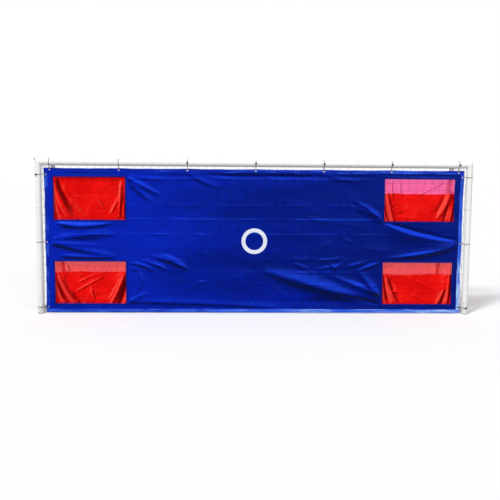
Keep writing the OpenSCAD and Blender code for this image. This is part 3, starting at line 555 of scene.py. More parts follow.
# %% Fold lines
# Each crest runs from left to right: start, bend and end as (x, z), its height to the front
# (below 0 for a valley), how wide it is above and below, and where along it it is highest.
CRESTS = [
    ((0.08, 0.63), (0.66, 0.44), (1.82, 0.145), 0.040, 0.105, 0.080, 0.55),
    ((0.95, 0.61), (1.38, 0.44), (1.82, 0.270), 0.028, 0.050, 0.065, 0.75),
    ((1.46, 0.65), (1.62, 0.43), (1.82, 0.250), 0.028, 0.070, 0.050, 0.60),
    ((1.10, 0.30), (1.50, 0.215), (1.84, 0.135), -0.020, 0.030, 0.035, 0.65),
    ((0.20, 0.46), (0.30, 0.37), (0.42, 0.260), 0.007, 0.030, 0.040, 0.50),
    ((0.84, 0.765), (1.05, 0.775), (1.30, 0.815), 0.008, 0.022, 0.020, 0.50),
    ((0.52, 0.735), (0.64, 0.690), (0.78, 0.650), 0.009, 0.022, 0.022, 0.50),
    ((0.88, 0.640), (1.05, 0.675), (1.28, 0.700), 0.008, 0.022, 0.020, 0.50),
    ((1.30, 0.675), (1.45, 0.710), (1.62, 0.765), 0.011, 0.024, 0.024, 0.50),
    ((1.48, 0.615), (1.60, 0.680), (1.80, 0.745), 0.015, 0.026, 0.030, 0.60),
    ((1.00, 0.560), (1.14, 0.660), (1.32, 0.780), 0.006, 0.020, 0.020, 0.50),
    ((1.02, 0.760), (1.12, 0.700), (1.20, 0.600), 0.006, 0.018, 0.018, 0.50),
    ((1.20, 1.115), (1.30, 1.075), (1.40, 1.020), 0.006, 0.020, 0.024, 0.50),
    ((0.42, 0.800), (0.70, 0.790), (0.98, 0.800), 0.005, 0.018, 0.024, 0.50),
    ((-1.84, 1.950), (-1.62, 1.835), (-1.33, 1.690), 0.022, 0.030, 0.050, 0.40),
    ((-1.77, 1.850), (-1.62, 1.720), (-1.46, 1.600), 0.017, 0.045, 0.040, 0.45),
    ((-1.93, 2.000), (-1.50, 1.910), (-1.10, 1.880), 0.006, 0.025, 0.030, 0.40),
    ((-0.96, 2.000), (-0.80, 1.900), (-0.48, 1.780), 0.012, 0.040, 0.028, 0.45),
    ((-0.97, 2.000), (-0.70, 1.950), (-0.30, 1.935), 0.008, 0.022, 0.030, 0.50),
    ((0.00, 2.000), (0.22, 1.930), (0.46, 1.900), 0.005, 0.025, 0.028, 0.40),
    ((0.96, 2.000), (1.20, 1.930), (1.50, 1.900), 0.006, 0.025, 0.028, 0.40),
    ((-1.70, 1.972), (0.00, 1.966), (1.72, 1.972), -0.012, 0.026, 0.050, 0.50),
    ((-1.82, 0.735), (-1.62, 0.705), (-1.43, 0.630), 0.017, 0.034, 0.026, 0.55),
    ((-1.64, 0.772), (-1.46, 0.728), (-1.24, 0.630), 0.017, 0.030, 0.026, 0.60),
    ((-1.50, 0.822), (-1.24, 0.800), (-0.95, 0.632), 0.022, 0.045, 0.030, 0.60),
    ((-1.36, 0.850), (-1.22, 0.815), (-1.06, 0.742), 0.009, 0.024, 0.022, 0.50),
    ((-1.80, 0.640), (-1.72, 0.655), (-1.62, 0.630), 0.008, 0.022, 0.020, 0.50),
    ((-1.72, 0.27), (-1.57, 0.46), (-1.66, 0.62), 0.015, 0.060, 0.035, 0.50),
    ((-1.82, 0.150), (-1.70, 0.235), (-1.50, 0.305), 0.014, 0.030, 0.040, 0.40),
    ((-1.82, 0.168), (-1.05, 0.165), (0.34, 0.090), 0.013, 0.055, 0.026, 0.45),
    ((-0.40, 0.185), (0.70, 0.175), (1.80, 0.170), -0.010, 0.060, 0.070, 0.60),
    ((1.22, 1.700), (1.62, 1.570), (1.84, 1.310), 0.023, 0.035, 0.060, 0.78),
    ((1.30, 1.560), (1.52, 1.500), (1.74, 1.410), 0.008, 0.025, 0.035, 0.60),
    ((1.86, 1.310), (2.15, 1.125), (2.90, 1.030), 0.024, 0.034, 0.110, 0.45),
    ((1.86, 1.335), (2.20, 1.180), (2.90, 1.070), -0.020, 0.040, 0.024, 0.42),
    ((1.86, 0.800), (2.45, 0.850), (2.90, 0.985), 0.028, 0.042, 0.042, 0.62),
    ((2.10, 0.985), (2.50, 1.000), (2.90, 1.010), 0.008, 0.030, 0.040, 0.70),
    ((2.02, 0.900), (2.50, 0.945), (2.88, 1.000), 0.007, 0.022, 0.024, 0.70),
    ((-2.82, 1.325), (-2.50, 1.160), (-1.92, 1.335), 0.026, 0.050, 0.045, 0.40),
    ((-2.90, 1.050), (-2.50, 1.140), (-1.98, 1.140), 0.023, 0.052, 0.070, 0.45),
    ((-2.91, 1.010), (-2.55, 1.000), (-2.10, 0.980), 0.013, 0.022, 0.045, 0.35),
    ((-2.90, 1.005), (-2.50, 0.915), (-1.93, 0.805), 0.018, 0.060, 0.036, 0.55),
    ((-2.78, 0.830), (-2.40, 0.805), (-1.98, 0.790), 0.018, 0.030, 0.028, 0.50),
    ((-2.70, 1.180), (-2.40, 1.160), (-2.05, 1.190), 0.007, 0.024, 0.024, 0.50),
    ((-2.70, 1.992), (-2.30, 1.990), (-1.90, 1.990), -0.008, 0.018, 0.018, 0.50),
    ((1.86, 1.990), (2.30, 1.990), (2.80, 1.990), -0.008, 0.018, 0.018, 0.50),
    ((-0.42, 0.45), (-0.20, 0.56), (0.00, 0.60), 0.005, 0.030, 0.040, 0.50),
    ((-0.98, 0.34), (-0.80, 0.45), (-0.68, 0.47), 0.007, 0.024, 0.030, 0.60),
    ((-0.90, 1.180), (-0.74, 1.110), (-0.62, 1.020), 0.004, 0.024, 0.030, 0.50),
    ((-0.82, 0.900), (-0.70, 0.860), (-0.62, 0.780), 0.005, 0.022, 0.024, 0.50),
    ((-1.62, 1.190), (-1.40, 1.130), (-1.20, 1.120), 0.004, 0.024, 0.030, 0.50),
    ((0.70, 1.400), (1.00, 1.320), (1.50, 1.270), 0.005, 0.030, 0.045, 0.50),
    ((0.90, 0.930), (1.02, 0.990), (1.10, 1.060), 0.005, 0.018, 0.020, 0.50),
    ((1.50, 0.960), (1.70, 0.930), (1.95, 0.900), 0.005, 0.030, 0.036, 0.50),
]
# Packing creases across and down: height at the left edge, rise to the right edge.
ACROSS_CREASES = ((1.914, 0), (1.544, 0.01), (1.353, 0), (1.138, 0), (0.768, 0.01),
                  (0.640, -0.07), (0.500, -0.12))
DOWN_CREASES = (-1.387, -1.046, -0.669, -0.292, 0.085, 0.462, 0.839, 1.216, 1.593)
CREASE, CREASE_HALF_W = 0.0042, 0.013
# How far the folds may stand to the front and rear, and over what distance they fade out
FOLD_FRONT, FOLD_REAR, FADE = -0.046, 0.020, 0.035
FOLD_STEPS = 20


def fold_height(x, z, start, bend, end, height, above, below, peak):
    """Height of one crest at the points x, z. It is a curve, narrow and low at both ends."""
    t = np.linspace(0, 1, FOLD_STEPS + 1)
    cx, cz = ((1 - t) ** 2 * a + 2 * t * (1 - t) * b + t * t * c
              for a, b, c in zip(start, bend, end))
    gap, where, over = np.full(x.shape, 9.0), np.zeros(x.shape), np.zeros(x.shape)
    for k in range(FOLD_STEPS):
        ax, az = cx[k + 1] - cx[k], cz[k + 1] - cz[k]
        s = np.clip(((x - cx[k]) * ax + (z - cz[k]) * az) / (ax * ax + az * az), 0, 1)
        px, pz = x - cx[k] - s * ax, z - cz[k] - s * az
        d = np.hypot(px, pz)
        closer = d < gap
        gap = np.where(closer, d, gap)
        where = np.where(closer, (k + s) / FOLD_STEPS, where)
        over = np.where(closer, ax * pz - az * px, over)
    swell = np.sin(np.pi * where ** (math.log(0.5) / math.log(peak))) ** 0.6
    width = np.where(over > 0, above, below) * (0.4 + 0.6 * swell)
    return height * swell * np.exp(-(gap / width) ** 1.6)


def flat_gap(x, z):
    """Distance from the nearest hem or binding."""
    out_x = np.maximum(OPEN_X0 - BINDING - np.abs(x), np.abs(x) - OPEN_X1 - BINDING)
    gap = np.minimum(SHEET_X - HEM - np.abs(x),
                     np.minimum(z - SHEET_Z0 - HEM, SHEET_Z1 - HEM - z))
    for z0, z1 in (LOW, HIGH):
        out_z = np.maximum(z0 - BINDING - z, z - z1 - BINDING)
        gap = np.minimum(gap, np.maximum(out_x, out_z))
    return gap


def folds(x, z):
    """How far the cloth stands to the rear of its plane."""
    y = -sum(fold_height(x, z, *crest) for crest in CRESTS)
    y += 0.0035 * ripple(x, z, 1.1, 7) + 0.0022 * ripple(z, 0.4 * x, 0.34, 8)
    y += 0.0009 * ripple(x, z, 0.13, 9) * (1 + ripple(x, z, 0.9, 2))
    fade = np.clip(flat_gap(x, z) / FADE, 0, 1)
    y = np.clip(y, FOLD_FRONT, FOLD_REAR) * fade * fade * (3 - 2 * fade)
    for c, rise in ACROSS_CREASES:
        line = c + rise * (x + SHEET_X) / (2 * SHEET_X)
        y -= CREASE * np.clip(1 - np.abs(z - line) / CREASE_HALF_W, 0, 1) * np.clip(
            0.9 + 0.7 * ripple(x, z, 0.8, c), 0.15, 1) * fade
    for c in DOWN_CREASES:
        y -= 0.5 * CREASE * np.clip(1 - np.abs(x - c) / CREASE_HALF_W, 0, 1) * np.clip(
            0.5 + 0.9 * ripple(z, x, 0.6, c), 0, 1) * fade
    return y


print(len(CRESTS), "crests,", len(ACROSS_CREASES), "creases across")

# %% [markdown]
# ## The sheet
# The sheet starts as one grid, the quickest way to a cloth of even squares. Its rows and columns
# are then shifted so that one falls on each edge of an opening and on each crease. The faces in
# the openings are deleted, the folds are pressed in, and Solidify gives the cloth its thickness.

# %% Rows and columns
def lines_between(stops, pitch, snaps=()):
    """Even steps of about pitch from stop to stop, the nearest one moved onto each snap."""
    out = [stops[0]]
    for a, b in zip(stops, stops[1:]):
        n = max(1, round((b - a) / pitch))
        out += [a + (b - a) * (i + 1) / n for i in range(n)]
    out = np.array(out)
    for s in snaps:
        k = int(np.argmin(np.abs(out - s)))
        if min(abs(out[k] - t) for t in stops) > pitch / 3:
            out[k] = s
    return out


LAP, CELL, CLOTH_T = 0.003, 0.0142, 0.0012
inner, outer = OPEN_X0 - BINDING + LAP, OPEN_X1 + BINDING - LAP
side_x = SHEET_X - HEM + LAP
columns = lines_between((-side_x, -outer, -inner, inner, outer, side_x), CELL, DOWN_CREASES)
rows = lines_between(
    (SHEET_Z0 + HEM - LAP, LOW[0] - BINDING + LAP, LOW[1] + BINDING - LAP,
     HIGH[0] - BINDING + LAP, HIGH[1] + BINDING - LAP, SHEET_Z1 - HEM + LAP),
    CELL, [c for c, rise in ACROSS_CREASES if rise == 0])
print(len(columns), "columns and", len(rows), "rows")

# %% Grid, openings and folds
bpy.ops.object.select_all(action="DESELECT")
bpy.ops.mesh.primitive_grid_add(x_subdivisions=len(columns) - 1, y_subdivisions=len(rows) - 1,
                                size=2)
sheet = bpy.context.active_object
sheet.name = sheet.data.name = "target_cloth"
count = len(sheet.data.vertices)
co = np.empty(count * 3)
sheet.data.vertices.foreach_get("co", co)
co = co.reshape(-1, 3)
ix = np.rint((co[:, 0] + 1) / 2 * (len(columns) - 1)).astype(int)
iz = np.rint((co[:, 1] + 1) / 2 * (len(rows) - 1)).astype(int)
x, z = np.meshgrid(columns, rows)
depth = folds(x, z)
# How steeply the cloth turns up or down at each point; the sheet's finish paints shade and
# highlight from it.
slope = np.gradient(depth, rows, axis=0)
hung = in_mouth(np.stack((columns[ix], depth[iz, ix], rows[iz]), 1))
sheet.data.vertices.foreach_set("co", hung.ravel())
give_slope(sheet, slope[iz, ix])
bpy.ops.object.mode_set(mode="EDIT")
bpy.ops.mesh.select_all(action="DESELECT")
bpy.ops.object.mode_set(mode="OBJECT")
for f in sheet.data.polygons:
    cx, _, cz = f.center
    f.select = inner < abs(cx) < outer and any(
        z0 - BINDING + LAP < cz < z1 + BINDING - LAP for z0, z1 in (LOW, HIGH))
bpy.ops.object.mode_set(mode="EDIT")
bpy.context.tool_settings.mesh_select_mode = (False, False, True)
bpy.ops.mesh.delete(type="FACE")
bpy.ops.object.mode_set(mode="OBJECT")
sheet.data.materials.append(sheet_blue)
thick = sheet.modifiers.new("thickness", "SOLIDIFY")
thick.thickness = CLOTH_T
thick.offset = 0
apply_modifiers(sheet)
smooth(sheet, 60)
on_goal(sheet, "sheet_cloth", "target_sheet")

# %% [markdown]
# ## Hems and bindings
# A hem is the cloth's edge folded over and stitched, and a binding is a tape folded round the
# edge of an opening. Both are bands with the same kind of section: round at the fold, full in
# the middle and pulled thin at the stitches. The section is swept along the edge in code, so that
# the band keeps its length and its stitches keep their places.

# %% Bands
GATHER_LENGTH = 0.021
HOLE_R, CUT_DEPTH = 0.0091, 0.06


def section(width, half):
    """Points (across, height) round a band, from its outer edge to its inner one and back."""
    front = [(0.0, 0.25), (0.03, 0.70), (0.09, 0.95), (0.16, 0.62), (0.22, 0.95), (0.45, 1.0),
             (0.72, 0.95), (0.80, 0.60), (0.86, 0.90), (0.95, 0.75), (1.0, 0.35)]
    return [(a * width, h * half) for a, h in front] + [
        (a * width, -h * half) for a, h in reversed(front)]


def band(name, path, ways, width, half, cloth, closed=False, pucker=0.00045):
    """A band along a path of points, each with its way inwards. pucker is how far it gathers
    between the stitches."""
    profile = section(width, half)
    n = len(profile)
    points, uv, gone = [], [], 0.0
    for k, (p, way) in enumerate(zip(path, ways)):
        p, way = Vector(p), Vector(way)
        if k:
            gone += (p - Vector(path[k - 1])).length
        for a, h in profile:
            turn = gone * 2 * math.pi / GATHER_LENGTH + a * 90
            full = pucker * math.sin(turn) * (abs(h) / half)
            y = h + math.copysign(full, h)
            points.append(p + way * a + Vector((0, -y, 0)))
            uv.append((gone, a))
    spans = len(path) if closed else len(path) - 1
    faces = [(k * n + i, k * n + (i + 1) % n, (k + 1) % len(path) * n + (i + 1) % n,
              (k + 1) % len(path) * n + i) for k in range(spans) for i in range(n)]
    if not closed:
        faces += [tuple(range(n)), tuple((len(path) - 1) * n + i for i in reversed(range(n)))]
    return faces_outwards(piece(name, in_mouth(points), faces, cloth, uv))


def along(a, b, pitch=0.007):
    """Points from a to b, both (x, z), about pitch apart."""
    n = max(1, round(math.dist(a, b) / pitch))
    return [(a[0] + (b[0] - a[0]) * i / n, 0, a[1] + (b[1] - a[1]) * i / n) for i in range(n + 1)]


def punched(obj, holes):
    """Cuts a round hole for each eyelet's barrel."""
    cutters = []
    for x, z in holes:
        bpy.ops.object.select_all(action="DESELECT")
        bpy.ops.mesh.primitive_cylinder_add(vertices=24, radius=HOLE_R, depth=CUT_DEPTH,
                                            location=(x, MOUTH, z), rotation=(math.pi / 2, 0, 0))
        cutters.append(bpy.context.active_object)
        place_in_mesh(cutters[-1])
    cutter = joined("cutter", cutters)
    cut = obj.modifiers.new("holes", "BOOLEAN")
    cut.operation = "DIFFERENCE"
    cut.solver = "EXACT"
    cut.object = cutter
    apply_modifiers(obj)
    bpy.data.objects.remove(cutter)


# %% Hems
HEMS = {
    "top_hem": ((-SHEET_X, SHEET_Z1), (SHEET_X, SHEET_Z1), (0, 0, -1), TOP_EYELETS),
    "bottom_hem": ((-SHEET_X, SHEET_Z0), (SHEET_X, SHEET_Z0), (0, 0, 1), []),
    "left_hem": ((-SHEET_X, SHEET_Z0 + HEM), (-SHEET_X, SHEET_Z1 - HEM), (1, 0, 0), LEFT_EYELETS),
    "right_hem": ((SHEET_X, SHEET_Z0 + HEM), (SHEET_X, SHEET_Z1 - HEM), (-1, 0, 0), RIGHT_EYELETS),
}
for name, (a, b, way, holes) in HEMS.items():
    path = along(a, b)
    obj = band(f"sewn_{name}", path, [way] * len(path), HEM, HEM_T / 2, hem_blues[name])
    if holes:
        punched(obj, holes)
    smooth(obj, 50)
    on_goal(obj, "hem_cloth", name)

# %% Bindings
def ring_path(x0, x1, z0, z1):
    """Corner by corner round an opening, each point with its way outwards into the cloth."""
    corners = [(x0, z0), (x1, z0), (x1, z1), (x0, z1)]
    outs = [(0, -1), (1, 0), (0, 1), (-1, 0)]
    path, ways = [], []
    for k in range(4):
        a, b = corners[k], corners[(k + 1) % 4]
        before, here = outs[k - 1], outs[k]
        side = along(a, b)[:-1]
        path += side
        ways += [(before[0] + here[0], 0, before[1] + here[1])] + [
            (here[0], 0, here[1])] * (len(side) - 1)
    return path, ways


for name, (sign, z0, z1) in OPENINGS.items():
    x0, x1 = sorted((sign * OPEN_X0, sign * OPEN_X1))
    path, ways = ring_path(x0, x1, z0, z1)
    obj = band(f"sewn_{name}_binding", path, ways, BINDING, HEM_T / 2, binding_blue, closed=True)
    smooth(obj, 50)
    on_goal(obj, "hem_cloth", f"{name}_binding")

# %% [markdown]
# ## Stitches
# A row of lock stitches is the same short thread again and again, so one small shape is repeated
# along a line, on the front and on the back. Each has only a few faces.

# %% Stitch rows
STITCH, STITCH_R = 0.0062, 0.00045
# The two rows' places as shares of a hem's width, their distance from the sheet's plane, and how
# far before the hem's ends the long rows stop
ROW_SHARES, ROW_Y, ROW_END = (0.16, 0.80), HEM_T / 2 * 0.62 + 0.0003, 0.01


def stitch_row(a, b, y, pitch=0.0095):
    """Stitches from a to b, both (x, z), y in front of the sheet's plane (below 0) or behind."""
    n = int(math.dist(a, b) / pitch)
    way = Vector((b[0] - a[0], 0, b[1] - a[1])).normalized()
    wide = Vector((way.z, 0, -way.x))
    points, faces = [], []
    for i in range(n):
        c = Vector((a[0], y, a[1])) + way * (i + 0.5) * pitch
        k = len(points)
        for s, r in ((-0.5, 0.45), (-0.25, 1.0), (0.25, 1.0), (0.5, 0.45)):
            sink = STITCH_R * 1.2 if r < 1 else 0
            for w, h in ((1, 0), (0, 1), (-1, 0), (0, -1)):
                points.append(c + way * s * STITCH + wide * w * r * STITCH_R
                              + Vector((0, h * r * STITCH_R - math.copysign(sink, y), 0)))
        faces += [(j + side, j + (side + 1) % 4, j + 4 + (side + 1) % 4, j + 4 + side)
                  for j in (k, k + 4, k + 8) for side in range(4)]
        faces += [(k + 3, k + 2, k + 1, k), (k + 12, k + 13, k + 14, k + 15)]
    return points, faces


def stitched(name, rows_of, move, finish=thread):
    """All rows as one piece. move takes flat points to where they hang."""
    points, faces = [], []
    for row in rows_of:
        p, f = stitch_row(*row)
        faces += [tuple(i + len(points) for i in face) for face in f]
        points += p
    return piece(name, move(points), faces, finish)


hem_rows, binding_rows = [], []
for y in (-ROW_Y, ROW_Y):
    for inset in (share * HEM for share in ROW_SHARES):
        for sign in (-1, 1):
            x = sign * (SHEET_X - inset)
            hem_rows.append(((x, SHEET_Z0 + HEM), (x, SHEET_Z1 - HEM), y))
        for z in (SHEET_Z0 + inset, SHEET_Z1 - inset):
            hem_rows.append(((-SHEET_X + ROW_END, z), (SHEET_X - ROW_END, z), y))
    for sign, z0, z1 in OPENINGS.values():
        x0, x1 = sorted((sign * OPEN_X0, sign * OPEN_X1))
        out = ROW_SHARES[1] * BINDING
        for z in (z0 - out, z1 + out):
            binding_rows.append(((x0 - out, z), (x1 + out, z), y))
        for x in (x0 - out, x1 + out):
            binding_rows.append(((x, z0 - out), (x, z1 + out), y))
for name, rows_of in (("hem_stitches", hem_rows), ("binding_stitches", binding_rows)):
    obj = stitched(name, rows_of, in_mouth)
    on_goal(obj, "hem_cloth")

# %% [markdown]
# ## Tapes behind the sheet
# A webbing tape is sewn behind the sheet above each opening, and the flap hangs from it. It is a
# band again, thinner than the hem.

# %% Tapes
TAPE_X, TAPE_W, TAPE_HALF_T = 0.540, 0.022, 0.0029
HINGES = {"top": 1.980, "bottom": 0.785}
# How far a tape's lower edge is above the hinge line, and its middle behind the sheet's plane
TAPE_UP, TAPE_BACK = 0.0006, 0.0049
tapes = []
for name, (sign, *_) in OPENINGS.items():
    z = HINGES[name.split("_")[0]] + TAPE_UP
    middle = sign * (OPEN_X0 + OPEN_X1) / 2
    path = along((middle - TAPE_X, z), (middle + TAPE_X, z))
    obj = band(f"{name}_tape", path, [(0, 0, 1)] * len(path), TAPE_W, TAPE_HALF_T, binding_blue)
    obj.data.transform(Matrix.Translation((0, TAPE_BACK, 0)))
    smooth(obj, 50)
    tapes.append(obj)
tape = joined("flap_tape_webbing", tapes)
on_goal(tape, "sheet_cloth", "flap_tapes")

# %% [markdown]
# ## Flaps
# A flap is wider and longer than its opening and gathered at its seam, so it hangs in folds that
# run from the top corners down and inwards. The folds are a wave along |u| + v / 2, where u goes
# across and v goes down. It is strong at the sides and nearly flat in the middle, and each flap
# gets folds of its own on top. Thin cloth also creases in fine lines, which stand where a broad
# wave passes through zero. The mesh is a closed shell in code: thin in the middle and thicker
# where its edges are turned over.

# %% Shape of a flap
FLAP_W, FLAP_H, FLAP_Y = 1.080, 0.700, 0.008
# The turned edge's width, half the cloth's thickness in it and elsewhere, how far from the edge
# the seam runs, how far below the hinge it starts, and how far it stands off the cloth's middle
FLAP_HEM, TURNED_HALF_T, THIN_HALF_T = 0.014, 0.0011, 0.0005
SEAM_IN, SEAM_TOP, SEAM_Y = 0.012, 0.02, 0.0013


def flap_depth(u, v, own):
    """Depth behind the sheet's plane for u from -1 to 1 and v from 0 to 1."""
    wave = np.cos(3 * np.pi * (np.abs(u) + v / 2)) / 2
    gathered = 0.15 + 0.85 * np.clip((np.abs(u) - 0.5) / 0.45, 0, 1)
    x, z = u * FLAP_W / 2, -v * FLAP_H
    depth = 0.027 + 0.022 * wave * gathered
    depth = depth - sum(fold_height(x, z, *crest) for crest in own)
    depth = depth + 0.0016 * ripple(x, z, 0.16, 3) + 0.0009 * ripple(z, x, 0.07, 5)
    for long, seed in ((0.34, 11), (0.47, 17)):
        depth = depth - 0.0024 * (1 - np.abs(ripple(x + 0.6 * z, z - 0.4 * x, long, seed))) ** 8
    return FLAP_Y + np.minimum(1, v / 0.16) * np.clip(depth, 0.000, 0.054)


# Crests and valleys of each flap's own folds, in metres from the middle of its seam, written as
# in CRESTS. Most run downwards, and then the two widths are those to the right and to the left.
FLAP_CRESTS = {
    "top_left": [
        ((-0.49, -0.30), (-0.46, -0.52), (-0.37, -0.69), 0.012, 0.022, 0.022, 0.55),
        ((-0.49, -0.06), (-0.45, -0.44), (-0.18, -0.69), 0.026, 0.050, 0.044, 0.50),
        ((-0.44, -0.06), (-0.32, -0.54), (0.08, -0.66), -0.022, 0.040, 0.040, 0.45),
        ((-0.21, -0.30), (-0.13, -0.31), (-0.05, -0.38), 0.007, 0.012, 0.014, 0.50),
        ((0.09, -0.27), (0.14, -0.40), (0.21, -0.50), 0.006, 0.010, 0.012, 0.50),
        ((0.40, -0.33), (0.35, -0.47), (0.28, -0.56), 0.011, 0.018, 0.020, 0.50),
        ((0.45, -0.07), (0.43, -0.30), (0.41, -0.63), 0.013, 0.022, 0.022, 0.50),
        ((0.41, -0.12), (0.40, -0.24), (0.39, -0.34), -0.010, 0.016, 0.016, 0.50),
        ((0.48, -0.40), (0.48, -0.52), (0.47, -0.64), 0.010, 0.014, 0.016, 0.50),
        ((-0.15, -0.56), (-0.07, -0.60), (0.01, -0.64), 0.007, 0.014, 0.016, 0.50),
        ((0.00, -0.54), (0.10, -0.54), (0.20, -0.54), 0.004, 0.010, 0.010, 0.50),
    ],
    "top_right": [
        ((-0.47, -0.18), (-0.42, -0.50), (-0.35, -0.69), 0.022, 0.036, 0.030, 0.50),
        ((-0.50, -0.40), (-0.48, -0.57), (-0.42, -0.69), 0.014, 0.020, 0.020, 0.55),
        ((-0.49, -0.32), (-0.46, -0.54), (-0.39, -0.69), -0.020, 0.024, 0.024, 0.55),
        ((-0.38, -0.45), (-0.30, -0.54), (-0.21, -0.48), 0.010, 0.016, 0.020, 0.50),
        ((0.45, -0.18), (0.41, -0.42), (0.25, -0.62), 0.016, 0.034, 0.026, 0.45),
        ((0.40, -0.20), (0.35, -0.40), (0.25, -0.54), -0.020, 0.026, 0.044, 0.50),
        ((0.50, -0.34), (0.48, -0.54), (0.44, -0.69), 0.014, 0.022, 0.024, 0.50),
        ((0.43, -0.40), (0.40, -0.56), (0.36, -0.69), -0.014, 0.022, 0.022, 0.50),
        ((0.39, -0.06), (0.13, -0.20), (-0.05, -0.29), 0.008, 0.010, 0.010, 0.50),
        ((-0.27, -0.04), (-0.29, -0.21), (-0.23, -0.30), 0.010, 0.010, 0.010, 0.60),
        ((-0.40, -0.04), (-0.40, -0.18), (-0.38, -0.32), 0.008, 0.010, 0.010, 0.60),
        ((-0.18, -0.40), (-0.16, -0.44), (-0.14, -0.48), 0.007, 0.010, 0.012, 0.50),
        ((-0.28, -0.56), (-0.16, -0.61), (-0.03, -0.59), 0.008, 0.016, 0.018, 0.50),
    ],
    "bottom_left": [
        ((-0.49, -0.33), (-0.46, -0.53), (-0.33, -0.69), 0.018, 0.026, 0.028, 0.50),
        ((-0.49, -0.24), (-0.41, -0.50), (-0.25, -0.69), -0.026, 0.034, 0.034, 0.55),
        ((-0.46, -0.18), (-0.37, -0.54), (-0.13, -0.69), 0.022, 0.036, 0.030, 0.50),
        ((-0.26, -0.50), (-0.19, -0.58), (-0.08, -0.68), -0.016, 0.030, 0.022, 0.55),
        ((-0.24, -0.19), (-0.16, -0.22), (-0.09, -0.28), 0.010, 0.012, 0.014, 0.50),
        ((-0.25, -0.49), (-0.05, -0.38), (0.19, -0.25), 0.010, 0.014, 0.016, 0.50),
        ((-0.21, -0.36), (-0.08, -0.29), (0.10, -0.21), 0.008, 0.012, 0.014, 0.50),
        ((0.00, -0.38), (0.01, -0.50), (0.06, -0.62), 0.009, 0.014, 0.014, 0.50),
        ((0.48, -0.20), (0.40, -0.46), (0.26, -0.69), 0.020, 0.040, 0.034, 0.50),
        ((0.38, -0.35), (0.32, -0.51), (0.23, -0.60), 0.009, 0.012, 0.014, 0.50),
        ((0.51, -0.30), (0.48, -0.52), (0.40, -0.69), -0.024, 0.040, 0.040, 0.55),
        ((-0.36, -0.05), (-0.33, -0.12), (-0.30, -0.19), 0.012, 0.018, 0.018, 0.50),
        ((0.08, -0.52), (0.15, -0.56), (0.22, -0.52), -0.009, 0.030, 0.030, 0.50),
    ],
    "bottom_right": [
        ((-0.50, -0.18), (-0.49, -0.46), (-0.43, -0.69), 0.014, 0.022, 0.020, 0.50),
        ((-0.47, -0.24), (-0.45, -0.49), (-0.35, -0.69), -0.018, 0.024, 0.024, 0.55),
        ((-0.46, -0.18), (-0.39, -0.51), (-0.22, -0.69), 0.020, 0.032, 0.028, 0.50),
        ((-0.40, -0.27), (-0.36, -0.36), (-0.32, -0.46), -0.018, 0.034, 0.024, 0.50),
        ((-0.36, -0.47), (-0.28, -0.45), (-0.21, -0.52), 0.009, 0.012, 0.014, 0.50),
        ((-0.32, -0.49), (-0.26, -0.50), (-0.21, -0.53), -0.008, 0.014, 0.014, 0.50),
        ((-0.37, -0.15), (0.04, -0.33), (0.30, -0.46), 0.012, 0.014, 0.018, 0.50),
        ((0.41, -0.42), (0.35, -0.57), (0.28, -0.69), 0.014, 0.026, 0.026, 0.50),
        ((0.44, -0.42), (0.42, -0.56), (0.36, -0.69), -0.018, 0.026, 0.026, 0.50),
        ((0.48, -0.18), (0.47, -0.46), (0.45, -0.69), 0.014, 0.024, 0.024, 0.50),
        ((0.36, -0.31), (0.41, -0.33), (0.46, -0.34), 0.007, 0.010, 0.012, 0.50),
        ((-0.13, -0.48), (0.01, -0.55), (0.14, -0.58), 0.007, 0.018, 0.022, 0.50),
    ],
}


def shell(name, x, y, z, half, cloth):
    """A closed cloth through the grid of points x, y, z, with half its thickness at each."""
    rows_n, cols_n = x.shape
    p = np.stack((x, y, z), -1)
    du, dv = np.gradient(p, axis=1), np.gradient(p, axis=0)
    normal = np.cross(du, dv)
    normal /= np.linalg.norm(normal, axis=-1, keepdims=True)
    if normal[..., 1].mean() > 0:
        normal = -normal
    front, back = p + normal * half[..., None], p - normal * half[..., None]
    count = rows_n * cols_n
    at = np.arange(count).reshape(rows_n, cols_n)
    quads = np.stack((at[:-1, :-1], at[1:, :-1], at[1:, 1:], at[:-1, 1:]), -1).reshape(-1, 4)
    faces = [tuple(q) for q in quads.tolist()]
    faces += [tuple(reversed(q)) for q in (quads + count).tolist()]
    rim = np.concatenate((at[0, :-1], at[:-1, -1], at[-1, :0:-1], at[:0:-1, 0])).tolist()
    faces += [(a, b, b + count, a + count) for a, b in zip(rim, rim[1:] + rim[:1])]
    uv = np.stack((x, z), -1).reshape(-1, 2)
    points = np.concatenate((front.reshape(-1, 3), back.reshape(-1, 3)))
    obj = piece(name, points, faces, cloth, np.concatenate((uv, uv)))
    # How far each point faces the key lamp from the upper left, from which the flap's finish paints
    # shade and highlight.
    lit = (0.35 * normal[..., 2] - normal[..., 0]).ravel()
    give_slope(obj, np.concatenate((lit, lit)))
    return faces_outwards(obj)


# %% Flaps and their stitches
def flap_point(name, sign, hinge):
    """A function from flat flap points to where they hang. Their Y is below 0 in front."""
    middle = sign * (OPEN_X0 + OPEN_X1) / 2

    def move(points):
        p = np.array(points, dtype=float)
        u, v = p[:, 0] / (FLAP_W / 2), -p[:, 2] / FLAP_H
        depth = flap_depth(u, v, FLAP_CRESTS[name])
        return np.stack((middle + p[:, 0], MOUTH + depth + p[:, 1], hinge + p[:, 2]), 1)
    return move


